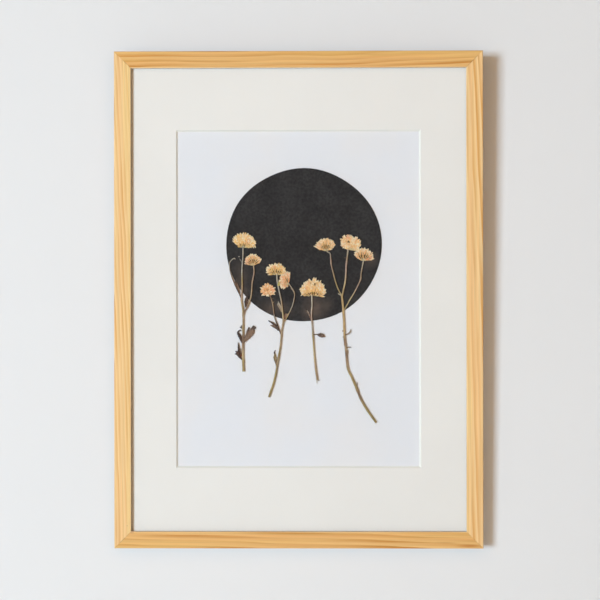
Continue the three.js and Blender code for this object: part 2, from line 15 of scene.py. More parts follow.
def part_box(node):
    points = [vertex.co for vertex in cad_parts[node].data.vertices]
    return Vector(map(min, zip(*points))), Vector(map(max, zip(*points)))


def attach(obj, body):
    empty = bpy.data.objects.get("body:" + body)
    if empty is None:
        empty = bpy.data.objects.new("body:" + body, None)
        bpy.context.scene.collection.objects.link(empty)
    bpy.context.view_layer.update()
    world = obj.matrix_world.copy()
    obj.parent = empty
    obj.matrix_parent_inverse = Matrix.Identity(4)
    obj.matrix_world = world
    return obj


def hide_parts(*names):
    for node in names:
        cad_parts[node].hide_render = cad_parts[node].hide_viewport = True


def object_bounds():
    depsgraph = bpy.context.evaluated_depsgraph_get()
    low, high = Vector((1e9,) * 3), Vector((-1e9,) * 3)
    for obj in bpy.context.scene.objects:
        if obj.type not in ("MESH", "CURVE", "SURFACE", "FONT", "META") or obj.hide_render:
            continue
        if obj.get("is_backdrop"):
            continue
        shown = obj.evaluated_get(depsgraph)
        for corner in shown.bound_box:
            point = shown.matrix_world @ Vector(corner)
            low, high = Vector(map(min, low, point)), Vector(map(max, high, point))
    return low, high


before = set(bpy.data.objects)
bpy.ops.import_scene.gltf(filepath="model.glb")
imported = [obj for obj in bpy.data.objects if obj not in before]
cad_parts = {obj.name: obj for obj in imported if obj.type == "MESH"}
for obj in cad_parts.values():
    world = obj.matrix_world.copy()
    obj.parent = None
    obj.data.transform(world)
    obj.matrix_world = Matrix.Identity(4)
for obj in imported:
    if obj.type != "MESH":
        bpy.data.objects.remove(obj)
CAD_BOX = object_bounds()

bl_info = {
    "name": "Pressed Flower Frame",
    "version": (1, 0, 0),
    "blender": (4, 5, 0),
    "location": "View3D > Sidebar > Flower Frame",
    "description": "Makes the pressed stems, leaves and flower heads of a small glazed pine frame",
    "category": "Object",
}

MM = 0.001

# Planes and middles of the frame, from its solids.
RAIL_FRONT_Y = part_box("rail_left")[0][1]
RAIL_BACK_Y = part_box("rail_left")[1][1]
FRAME_LOW_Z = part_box("rail_bottom")[0][2]
FRAME_HIGH_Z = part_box("rail_top")[1][2]
FRAME_MIDDLE_Z = (FRAME_LOW_Z + FRAME_HIGH_Z) / 2
FRAME_HALF_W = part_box("rail_right")[1][0]
FRAME_HALF_H = (FRAME_HIGH_Z - FRAME_LOW_Z) / 2
RAIL_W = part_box("rail_bottom")[1][2] - FRAME_LOW_Z

# The room for the flowers, between the glass and the black disc.
ROOM_FRONT_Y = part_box("glazing")[1][1] + 0.1 * MM
ROOM_BACK_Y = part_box("black_paper_disc")[0][1] - 0.04 * MM
ROOM_MIDDLE_Y = (ROOM_FRONT_Y + ROOM_BACK_Y) / 2
ROOM_DEPTH = ROOM_BACK_Y - ROOM_FRONT_Y

# The visible edge of the mat's window, and how wide its bevel is.
WINDOW_HALF_W = 103.5 * MM
WINDOW_HALF_H = 143.5 * MM
WINDOW_RISE = 0.6 * MM
BEVEL_W = 1.45 * MM

SIDES = ("bottom", "right", "top", "left")

# A pressed stem's depth as a share of its width, its width as a share of the listed one, and the
# most points along each span of its route.
STEM_FLATNESS = 0.8
STEM_WIDTH_SHARE = 0.86
SPAN_STEPS = 8

# How uneven a stem is: the length of a knot, then how much it swells and wanders, and over what length.
KNOT_LENGTH = 1.9 * MM
SWELL = 0.16
SWELL_LENGTH = 2.6 * MM
WANDER = 0.12 * MM
WANDER_LENGTH = 6 * MM

# A spur's taper and its one knot, and the room left free at each face of a stem.
SPUR_TAPER = 0.45
SPUR_KNOTS = [(0.75, 0.25)]
STEM_CLEARANCE = 0.04 * MM

# Columns and rows of faces in one blade of a leaf, and points along each span of its rib.
BLADE_COLUMNS = 6
BLADE_ROWS = 20
BLADE_STEPS = 12

# Colours that dried stems and leaves take, as display values.
DYES = {
    "olive": (180, 157, 108),
    "moss": (162, 143, 96),
    "straw": (208, 186, 142),
    "tan": (186, 160, 127),
    "rose": (198, 167, 145),
    "bark": (148, 121, 100),
    "umber": (92, 68, 54),
    "slate": (96, 84, 78),
    "grey": (186, 175, 157),
    "pale": (220, 207, 182),
    "rust": (136, 74, 52),
    "honey": (196, 166, 118),
    "bud": (214, 196, 118),
}

# Stems: the route from the cut end, the width, swellings as (share of the length, size), colours as
# (share of the length, dye) and small spurs as (route, width, dye).
STEMS = {
    "stem_1_main": {
        "route": [
            (-47.2, -61.6), (-47.8, -44.8), (-47.6, -35.9), (-47.4, -22.6), (-47.6, -9.3),
            (-49.0, 0.0), (-48.4, 10.3), (-48.4, 27.2), (-47.8, 34.1), (-47.5, 46.2),
        ],
        "width": 2.5,
        "taper": 0.46,
        "knots": [(0.17, 0.10), (0.26, 0.24), (0.46, 0.14), (0.57, 0.18)],
        "dyes": [
            (0.0, "olive"), (0.09, "olive"), (0.12, "straw"), (0.17, "tan"), (0.24, "bark"),
            (0.28, "bark"), (0.33, "olive"), (0.42, "tan"), (0.52, "olive"), (0.6, "rose"),
            (0.72, "olive"), (0.8, "grey"), (1.0, "grey"),
        ],
        "spurs": [
            ([(-48.3, 31.4), (-49.2, 33.4), (-50.6, 35.1)], 0.7, "grey"),
            ([(-48.6, -24.6), (-49.4, -23.9), (-50.4, -23.4)], 1.1, "umber"),
        ],
    },
    "stem_1_right_branch": {
        "route": [
            (-47.5, -14.0), (-46.3, -10.2), (-43.6, -5.8), (-41.8, -0.5), (-40.5, 4.0),
            (-39.7, 14.3), (-38.1, 24.1), (-38.9, 31.4),
        ],
        "width": 1.6,
        "taper": 0.8,
        "knots": [(0.04, 0.3), (0.5, 0.16), (0.72, 0.1)],
        "dyes": [
            (0.0, "tan"), (0.12, "bark"), (0.3, "tan"), (0.55, "tan"), (0.8, "rose"), (1.0, "straw"),
        ],
        "spurs": [([(-39.9, 14.0), (-40.7, 15.4), (-41.1, 17.0)], 0.6, "umber")],
    },
    "stem_1_left_twig": {
        "route": [
            (-48.6, -1.4), (-49.5, 2.3), (-53.4, 10.3), (-56.2, 17.0), (-58.6, 24.1),
            (-59.2, 30.0), (-58.2, 33.2), (-55.4, 35.5), (-54.2, 34.7),
        ],
        "width": 1.3,
        "taper": 0.55,
        "knots": [(0.06, 0.2), (0.36, 0.4), (0.99, 0.35)],
        "dyes": [
            (0.0, "bark"), (0.25, "umber"), (0.4, "bark"), (0.62, "bark"), (0.78, "grey"),
            (1.0, "pale"),
        ],
        "spurs": [([(-54.6, 14.2), (-53.6, 16.2), (-52.6, 18.6)], 0.6, "slate")],
    },
    "stem_2_main": {
        "route": [
            (-25.5, -83.6), (-20.7, -69.0), (-17.9, -53.7), (-15.5, -39.4), (-14.5, -27.4),
            (-13.1, -18.3), (-13.8, -9.6), (-14.6, -1.7), (-16.6, 7.4), (-18.2, 15.2),
            (-18.6, 22.8),
        ],
        "width": 2.2,
        "taper": 0.6,
        "knots": [(0.2, 0.12), (0.34, 0.16), (0.5, 0.14), (0.62, 0.2)],
        "dyes": [
            (0.0, "moss"), (0.1, "olive"), (0.2, "moss"), (0.28, "tan"), (0.36, "moss"),
            (0.45, "tan"), (0.6, "tan"), (0.66, "straw"), (0.75, "tan"), (0.85, "grey"),
            (0.95, "grey"), (1.0, "pale"),
        ],
        "spurs": [([(-17.4, 12.0), (-16.8, 13.4), (-16.6, 15.2)], 2.5, "bud")],
    },
    "stem_2_left_branch": {
        "route": [
            (-14.3, -31.4), (-16.6, -25.7), (-17.4, -23.5), (-20.5, -15.5), (-21.6, -7.6),
            (-22.5, -2.0), (-24.3, 3.6),
        ],
        "width": 1.3,
        "taper": 0.85,
        "knots": [(0.04, 0.2), (0.45, 0.15), (0.82, 0.35)],
        "dyes": [
            (0.0, "bark"), (0.2, "umber"), (0.35, "slate"), (0.45, "grey"), (0.58, "bark"),
            (0.78, "tan"), (1.0, "bark"),
        ],
        "spurs": [([(-22.6, -2.2), (-21.8, -2.6), (-20.9, -1.5)], 0.7, "tan")],
    },
    "stem_2_right_branch": {
        "route": [
            (-13.5, -21.0), (-11.5, -17.5), (-8.8, -12.8), (-5.9, -6.8), (-4.0, -0.5), (-3.4, 5.0),
            (-5.2, 9.0), (-8.6, 14.2),
        ],
        "width": 1.1,
        "taper": 0.85,
        "knots": [(0.1, 0.3), (0.78, 0.5)],
        "dyes": [(0.0, "tan"), (0.2, "honey"), (0.45, "grey"), (0.75, "tan"), (1.0, "pale")],
        "spurs": [([(-5.0, 8.6), (-6.0, 9.0), (-6.6, 10.2)], 0.8, "bark")],
    },
    "stem_3_main": {
        "route": [
            (16.0, -69.0), (14.5, -57.7), (13.3, -45.3), (12.5, -32.9), (11.6, -20.7),
            (11.1, -12.3), (11.6, -4.1), (11.3, 4.2),
        ],
        "width": 2.1,
        "taper": 0.62,
        "knots": [(0.51, 0.16), (0.72, 0.16)],
        "dyes": [
            (0.0, "tan"), (0.15, "tan"), (0.35, "straw"), (0.5, "olive"), (0.62, "grey"),
            (0.76, "rose"), (0.86, "pale"), (1.0, "pale"),
        ],
        "spurs": [
            ([(15.6, -67.6), (15.4, -70.0), (15.9, -72.0)], 0.7, "pale"),
            ([(16.5, -68.0), (17.0, -69.4), (18.2, -68.9)], 0.8, "grey"),
        ],
    },
    "stem_4_main": {
        "route": [
            (66.4, -105.5), (59.7, -95.9), (53.3, -85.2), (49.0, -74.4), (45.2, -65.8),
            (42.0, -58.3), (40.9, -44.9), (39.6, -34.1), (38.7, -15.2), (37.8, -2.7), (37.1, 3.9),
        ],
        "width": 2.4,
        "taper": 0.92,
        "knots": [
            (0.12, 0.1), (0.2, 0.14), (0.28, 0.34), (0.36, 0.12), (0.41, 0.18), (0.46, 0.14), (0.52, 0.16),
            (0.57, 0.24), (0.64, 0.3), (0.68, 0.26), (0.76, 0.14), (0.86, 0.18),
        ],
        "dyes": [
            (0.0, "moss"), (0.14, "moss"), (0.26, "bark"), (0.3, "olive"), (0.42, "olive"),
            (0.48, "tan"), (0.56, "bark"), (0.6, "tan"), (0.66, "bark"), (0.7, "honey"),
            (1.0, "honey"),
        ],
        "spurs": [
            ([(38.6, -26.4), (38.0, -26.8), (37.7, -27.6)], 1.0, "rust"),
            ([(39.2, -31.6), (38.4, -31.9), (37.8, -32.4)], 0.8, "umber"),
            ([(40.9, -42.6), (42.2, -44.2), (42.3, -46.4)], 1.0, "tan"),
            ([(49.4, -74.2), (50.2, -72.4), (49.9, -70.6)], 0.9, "bark"),
        ],
    },
    "stem_4_middle_branch": {
        "route": [(37.1, 2.6), (38.8, 9.7), (40.2, 16.9), (41.0, 29.5), (41.8, 36.6), (42.5, 43.4)],
        "width": 1.7,
        "taper": 0.9,
        "knots": [(0.02, 0.25), (0.72, 0.34), (0.62, 0.2)],
        "dyes": [
            (0.0, "honey"), (0.3, "straw"), (0.52, "rose"), (0.7, "rose"), (0.82, "tan"), (1.0, "pale"),
        ],
        "spurs": [],
    },
    "stem_4_left_branch": {
        "route": [
            (37.2, 2.4), (33.5, 10.4), (31.3, 16.9), (29.9, 22.4), (28.2, 29.5), (27.6, 35.2),
            (27.1, 39.5), (25.0, 41.0), (23.6, 42.8),
        ],
        "width": 1.3,
        "taper": 0.9,
        "knots": [(0.02, 0.2), (0.72, 0.4), (0.97, 0.3)],
        "dyes": [
            (0.0, "straw"), (0.25, "olive"), (0.5, "tan"), (0.74, "rose"), (0.9, "grey"), (1.0, "straw"),
        ],
        "spurs": [([(36.2, 4.0), (34.8, 4.6), (34.0, 5.6)], 1.0, "pale")],
    },
    "stem_4_right_branch": {
        "route": [(37.8, -11.6), (43.1, -1.7), (48.1, 6.6), (52.9, 16.4), (53.8, 23.1), (55.9, 35.0)],
        "width": 1.2,
        "taper": 1.05,
        "knots": [(0.02, 0.2), (0.66, 0.4)],
        "dyes": [(0.0, "olive"), (0.3, "straw"), (0.5, "rose"), (0.75, "tan"), (1.0, "pale")],
        "spurs": [],
    },
}

# Leaves: each blade is a route, its widths along the way and its colours along the way.
LEAVES = {
    "leaf_1_fork": [
        ([(-45.5, -6.6), (-45.3, -2.5), (-44.8, 0.6), (-43.8, 2.9)],
         (0.8, 2.4, 2.8, 0.7), ("umber", "slate")),
        ([(-44.6, -5.4), (-43.9, -1.8), (-43.4, 1.4)], (0.7, 1.6, 0.6), ("bark", "umber")),
    ],
    "leaf_1_right": [
        ([(-46.8, -36.2), (-43.8, -32.0), (-41.2, -28.6), (-39.0, -26.0)],
         (1.6, 4.4, 5.6, 3.2), ("bark", "bark")),
        ([(-41.6, -29.2), (-39.6, -25.6), (-37.7, -22.9)], (2.2, 3.4, 3.0), ("bark", "slate")),
        ([(-44.8, -31.4), (-43.6, -27.0), (-42.5, -23.6)], (1.6, 2.0, 0.9), ("bark", "slate")),
    ],
    "leaf_1_left": [
        ([(-47.9, -37.4), (-49.6, -33.0), (-51.6, -29.4), (-52.7, -28.2)],
         (1.6, 2.7, 2.2, 0.8), ("umber", "slate")),
        ([(-52.4, -28.8), (-51.6, -27.0), (-50.0, -26.2), (-49.2, -26.8)],
         (0.8, 1.1, 0.8, 0.4), ("slate", "umber")),
    ],
    "leaf_1_low": [
        ([(-48.3, -51.4), (-50.4, -49.0), (-52.8, -46.6), (-54.8, -46.7)],
         (1.0, 2.4, 1.9, 0.6), ("umber", "slate")),
        ([(-49.0, -48.8), (-50.6, -46.4), (-52.4, -45.2), (-54.2, -44.2)],
         (2.2, 3.2, 1.8, 0.7), ("rust", "slate")),
        ([(-49.8, -47.4), (-51.0, -43.6), (-51.4, -40.2), (-51.9, -36.8)],
         (2.4, 2.4, 1.5, 0.6), ("umber", "slate")),
    ],
    "leaf_1_twig": [
        ([(-50.4, 5.8), (-52.2, 10.8), (-53.3, 13.8), (-54.5, 16.1)],
         (0.8, 2.0, 1.9, 0.6), ("bark", "umber")),
    ],
    "leaf_2_bract": [
        ([(-14.2, -10.6), (-15.7, -6.6), (-17.0, -3.9), (-17.3, -1.6)],
         (1.2, 2.4, 2.3, 0.5), ("tan", "grey")),
        ([(-15.2, -8.4), (-16.9, -5.8), (-18.5, -4.3)], (0.8, 1.4, 0.4), ("tan", "bark")),
    ],
    "leaf_2_fork": [
        ([(-12.1, -16.6), (-11.6, -14.0), (-10.4, -11.7)], (0.9, 2.0, 1.0), ("rust", "bark")),
        ([(-11.6, -15.6), (-10.6, -13.6), (-9.2, -12.2)], (0.8, 1.4, 0.7), ("bark", "tan")),
    ],
    "leaf_2_forked": [
        ([(-17.0, -26.6), (-19.3, -23.9), (-21.6, -22.6), (-24.1, -22.0)],
         (0.8, 2.4, 2.2, 0.5), ("slate", "bark")),
        ([(-18.0, -25.0), (-20.2, -21.9), (-22.6, -19.8), (-25.9, -18.0)],
         (0.8, 2.2, 1.6, 0.7), ("umber", "slate")),
    ],
    "leaf_2_low": [
        ([(-18.6, -58.2), (-19.5, -53.0), (-20.3, -49.4), (-20.4, -46.6)],
         (0.8, 2.3, 2.5, 1.0), ("bark", "moss")),
        ([(-20.4, -47.4), (-20.7, -45.0), (-19.8, -43.4)], (1.2, 0.9, 0.4), ("umber", "slate")),
    ],
    "leaf_3_side": [
        ([(12.4, -30.2), (15.4, -29.8), (17.2, -30.2)], (0.7, 0.9, 1.0), ("bark", "slate")),
        ([(16.2, -30.0), (18.2, -30.3), (20.6, -31.0), (22.8, -32.0)],
         (0.8, 3.4, 3.4, 0.6), ("slate", "bark")),
    ],
    "leaf_3_bract": [
        ([(11.0, -16.8), (10.2, -15.2), (9.4, -13.6)], (1.0, 1.2, 0.7), ("rust", "bark")),
        ([(9.5, -13.8), (8.4, -11.2), (7.3, -9.1)], (0.7, 0.9, 0.4), ("rose", "grey")),
        ([(9.0, -12.6), (7.0, -10.4), (5.6, -7.4)], (0.5, 0.6, 0.3), ("bark", "slate")),
    ],
    "twig_4_upper": [
        ([(39.0, -30.5), (41.9, -29.7), (44.3, -27.6), (44.4, -25.4)],
         (0.9, 1.2, 1.3, 0.5), ("bark", "grey")),
    ],
    "twig_4_lower": [
        ([(40.3, -41.9), (42.6, -40.9), (45.3, -40.8)], (1.0, 1.1, 0.4), ("tan", "slate")),
    ],
}

# Flower heads, each of one or two domes. The outline is half an ellipse over half a shallower one, as
# half width, height and base, and tilt turns it anticlockwise. Petals spread over the fan from the
# eye, which is as wide as the seat, and crowd says how close they stand. A dome seen from the side has
# thin ribs apart over its dark inside, painted shade, up to the share "ribs" of the way out. One seen
# face on fans all round, and middle is the tone of the short petals at its eye. Straw and blush say how
# yellow and how pink the petals are, and blushes are pinker places, as x, z, radius and strength.
# Strays are the tips of single petals that stick out, some with a place before the tip that they come
# from.
HEADS = {
    "flower_1_main": [{
        "centre": (-46.2, 50.6), "half": (9.7, 6.8, 5.4), "tilt": -14, "eye": (-47.6, 45.4), "seat": 3.4,
        "fan": (-66, 98), "ribs": 0.22, "crowd": 1.6, "straw": 0.8, "blush": 0.1,
        "blushes": [(-42.6, 50.5, 3.5, 0.7)],
        "strays": [
            (-56.2, 50.4), (-54.0, 48.2), (-39.0, 49.6, -37.0, 45.0), (-40.4, 49.0, -38.6, 44.6),
            (-41.6, 48.6, -40.6, 44.8),
        ],
    }],
    "flower_1_right": [{
        "centre": (-39.2, 33.7), "half": (7.0, 5.8, 3.7), "tilt": 4, "eye": (-39.2, 30.0), "seat": 1.4,
        "fan": (-82, 64), "ribs": 0.62, "crowd": 1.4, "straw": 0.1, "blush": 0.2,
        "blushes": [(-45.0, 33.0, 3.5, 0.8)],
        "strays": [(-45.8, 31.0), (-32.2, 34.8)],
    }],
    "flower_2_main": [{
        "centre": (-19.2, 25.4), "half": (8.4, 6.2, 3.9), "tilt": -4, "eye": (-18.5, 21.9), "seat": 3.8,
        "fan": (-80, 78), "ribs": 0.4, "crowd": 1.3, "straw": 0.75, "blush": 0.15,
        "blushes": [(-20.6, 28.0, 1.8, 0.6)],
        "strays": [(-27.4, 23.4), (-25.8, 21.6), (-11.6, 22.8)],
    }],
    "flower_2_right": [{
        "centre": (-12.2, 17.2), "half": (4.6, 7.2, 7.2), "tilt": -18, "eye": (-8.7, 13.6), "seat": 0.6,
        "fan": (-150, 6), "ribs": 0.4, "crowd": 1.3, "straw": 0.0, "blush": 0.75,
        "blushes": [],
        "strays": [
            (-7.5, 23.2), (-8.6, 23.4), (-9.6, 23.8), (-7.6, 20.6), (-8.4, 21.8), (-7.9, 18.8), (-14.4, 9.9),
            (-12.6, 9.2), (-9.9, 10.9),
        ],
    }],
    "flower_2_left": [{
        "centre": (-26.3, 8.3), "half": (6.3, 5.6, 5.6), "tilt": 0, "eye": (-26.4, 8.7), "seat": 0.0,
        "fan": (-180, 180), "middle": 0.34, "ribs": 0.0, "crowd": 0.95, "straw": 0.2, "blush": 0.5,
        "blushes": [(-21.0, 8.5, 3.4, 0.8)],
        "strays": [(-32.4, 10.4), (-31.4, 3.8), (-19.8, 7.0), (-20.6, 4.4), (-20.2, 10.2)],
    }],
    "flower_3_main": [
        {
            "centre": (12.3, 7.4), "half": (10.9, 10.5, 5.2), "tilt": -4, "eye": (12.4, 3.6), "seat": 6.8,
            "fan": (-84, 90), "ribs": 0.2, "crowd": 1.5, "straw": 0.45, "blush": 0.2,
            "blushes": [(6.3, 11.0, 2.0, 0.6), (4.0, 14.0, 1.8, 0.4), (9.0, 15.0, 1.8, 0.4)],
            "strays": [
                (6.6, 7.4, 2.3, 3.7), (1.2, 9.0), (22.0, 2.6), (23.2, 8.4), (22.0, 12.2), (19.0, 16.2),
            ],
        },
        {
            "centre": (13.9, 13.2), "half": (3.8, 3.4, 3.4), "tilt": 0, "eye": (13.8, 13.0), "seat": 0.0,
            "fan": (-180, 180), "middle": 0.12, "ribs": 0.0, "crowd": 0.9, "straw": 0.3, "blush": 0.0,
            "blushes": [],
            "strays": [(13.2, 18.6), (15.0, 18.2)],
        },
    ],
    "flower_4_left": [{
        "centre": (23.2, 46.3), "half": (8.0, 6.6, 4.0), "tilt": 3, "eye": (23.5, 42.4), "seat": 1.6,
        "fan": (-74, 62), "ribs": 0.5, "crowd": 1.6, "straw": 0.0, "blush": 0.1,
        "blushes": [(17.0, 46.5, 3.0, 0.4)],
        "strays": [
            (13.6, 45.7), (14.8, 46.8), (14.8, 45.0), (16.2, 48.4), (16.8, 44.2), (31.3, 46.7), (28.5, 43.2),
            (30.0, 49.4),
        ],
    }],
    "flower_4_middle": [
        {
            "centre": (47.3, 47.4), "half": (5.7, 7.2, 6.4), "tilt": -35, "eye": (44.6, 43.0), "seat": 1.6,
            "fan": (-30, 96), "ribs": 0.1, "crowd": 1.6, "straw": 0.45, "blush": 0.2,
            "blushes": [(49.0, 52.0, 2.4, 0.7)],
            "strays": [],
        },
        {
            "centre": (42.0, 49.3), "half": (6.0, 6.6, 6.4), "tilt": -8, "eye": (43.2, 49.6), "seat": 0.0,
            "fan": (-180, 180), "middle": 0.08, "ribs": 0.0, "crowd": 1.5, "straw": 0.3, "blush": 0.2,
            "blushes": [(42.0, 54.2, 2.8, 0.9)],
            "strays": [(36.2, 52.0), (36.5, 46.8), (38.3, 44.6)],
        },
    ],
    "flower_4_right": [{
        "centre": (56.4, 37.9), "half": (8.4, 6.2, 4.2), "tilt": -14, "eye": (55.7, 34.0), "seat": 1.8,
        "fan": (-66, 88), "ribs": 0.56, "crowd": 1.25, "straw": 0.1, "blush": 0.3,
        "blushes": [(61.0, 36.0, 2.8, 0.7)],
        "strays": [(64.4, 34.9), (48.0, 38.4), (54.2, 44.0), (57.0, 44.2), (60.0, 43.2)],
    }],
}

# Crumbs that fell off the plants: place, length, turn and dye.
CRUMBS = [
    ((-51.3, 36.5), 0.9, 30, "pale"),
    ((-49.7, -22.9), 1.2, 70, "umber"),
    ((-22.1, 0.4), 0.7, 15, "bark"),
    ((39.9, 35.4), 0.7, 20, "bark"),
    ((30.2, -51.0), 0.5, 10, "umber"),
]


def linear(red, green, blue):
    """Display values from 0 to 255 as the linear colour that Blender's sockets hold."""
    def channel(value):
        part = value / 255
        return part / 12.92 if part <= 0.04045 else ((part + 0.055) / 1.055) ** 2.4

    return channel(red), channel(green), channel(blue)


def dye_colour(name):
    return Vector(linear(*DYES[name]))


def opaque(shade):
    return (*shade[:3], 1.0)


def colour(name, description, display):
    return FloatVectorProperty(
        name=name, description=description, default=linear(*display), subtype="COLOR",
        size=3, min=0.0, max=1.0,
    )


def length(name, description, metres):
    return FloatProperty(
        name=name, description=description, default=metres, min=0.0, subtype="DISTANCE",
        unit="LENGTH",
    )


def angle(name, description, degrees):
    return FloatProperty(
        name=name, description=description, default=math.radians(degrees), subtype="ANGLE",
        unit="ROTATION",
    )


def share(name, description, default):
    return FloatProperty(
        name=name, description=description, default=default, min=0.0, soft_max=1.0, subtype="FACTOR",
    )


def power(name, description, watts):
    return FloatProperty(name=name, description=description, default=watts, min=0.0, unit="POWER")


class PressedFrameRails(bpy.types.PropertyGroup):
    """Colours of the pine."""

    # The upright rails' colours are lighter than the level rails': partly the pine's own tone, partly
    # painted sheen for how the light from the left reflects along the grain of the uprights.
    side_light: colour("Side rail, light wood", "Early wood of the two upright rails", (249, 210, 151))
    side_dark: colour("Side rail, dark wood", "Late wood of the two upright rails", (226, 164, 88))
    level_light: colour("Level rail, light wood", "Early wood of the top and bottom rails", (237, 188, 120))
    level_dark: colour("Level rail, dark wood", "Late wood of the top and bottom rails", (204, 136, 60))
    lip: colour("Lip", "Pale cut edge of the rails, beside the glass", (252, 226, 186))
    ring_pitch: length("Ring pitch", "Distance from one year's ring to the next", 3.5 * MM)
    roughness: share("Roughness", "How dull the sanded pine is", 0.62)


class PressedFrameSheets(bpy.types.PropertyGroup):
    """Colours of the sheets behind the glass."""

    mat: colour("Mat", "Face of the mat", (245, 241, 232))
    mat_core: colour("Mat core", "Core of the mat, which shows on its bevel", (245, 243, 232))
    paper: colour("Paper", "Sheet under the flowers", (239, 239, 239))
    disc: colour("Disc", "Black paper disc", (56, 54, 53))
    # Colour of the lighter brown patches on the disc.
    disc_patch: colour("Disc stain", "Brown stains on the disc", (104, 90, 80))
    hardboard: colour("Hardboard", "Back of the frame", (134, 100, 70))
    steel: colour("Steel", "Point tabs, V nails and brads", (150, 151, 152))
    zinc: colour("Zinc", "Sawtooth hanger", (196, 190, 170))


class PressedFramePlants(bpy.types.PropertyGroup):
    """Sizes and colours of the dried plants."""

    petal_width: length("Petal width", "Width of one petal at its widest", 1.4 * MM)
    petal_length: length("Petal length", "Longest petal of a head", 5.0 * MM)
    petal_lift: length("Petal lift", "How far a petal bows towards the glass", 0.42 * MM)
    levels: IntProperty(name="Levels", description="Rings of petals in a head", default=7, min=3, max=10)
    peach: colour("Peach petal", "Main colour of the petals", (255, 202, 132))
    straw: colour("Straw petal", "Petals that dried yellow", (255, 204, 102))
    pink: colour("Pink petal", "Petals that dried pink", (254, 176, 126))
    # The cream of the tips is partly painted highlight.
    cream: colour("Cream tip", "Ends of the petals", (255, 238, 200))
    claw: colour("Claw", "Narrow brown foot of a petal", (214, 176, 120))
    gap: colour("Gap", "Shaded inside of a head, between the petals", (84, 58, 28))
    calyx: colour("Calyx", "Green-brown leaves under a head", (214, 200, 156))
    leaf_thickness: length("Leaf thickness", "Thickness of a dried leaf", 0.14 * MM)
    wrinkle: length("Wrinkle", "How deep the dried leaves are wrinkled", 0.3 * MM)


class PressedFrameStage(bpy.types.PropertyGroup):
    """Wall, lamps and camera."""

    wall: colour("Wall", "Plain wall behind the frame", (233, 231, 227))
    floor: colour("Floor", "Plain floor under the frame", (222, 220, 216))
    lens: FloatProperty(name="Lens", description="Focal length", default=85.0, unit="CAMERA")
    camera_distance: length("Camera distance", "From the lens to the front of the rails", 1.211)
    camera_azimuth: angle("Camera azimuth", "How far the camera stands to the right", 0.65)
    camera_roll: angle("Camera roll", "How far the camera is tipped clockwise", 0.06)
    camera_shift_x: length("Aim across", "Where the camera aims, right of the middle", 1.35 * MM)
    camera_shift_z: length("Aim down", "Where the camera aims, below the middle", 0.3 * MM)
    wall_lean: angle("Wall lean", "How far the frame hangs forward of the wall at its top", 1.4)
    key_angle: angle("Key angle", "Key lamp, from the wall's normal towards the left", 32.5)
    key_drop: angle("Key drop", "Key lamp, below level", 0.0)
    key_distance: length("Key distance", "From the key lamp to the frame", 4.5)
    key_size: length("Key size", "Width of the key lamp", 1.1)
    key_power: power("Key power", "Power of the key lamp", 142.0)
    fill_power: power("Fill power", "Power of the fill lamp", 33.0)
    back_power: power("Back power", "Power of the lamp behind the frame", 56.0)


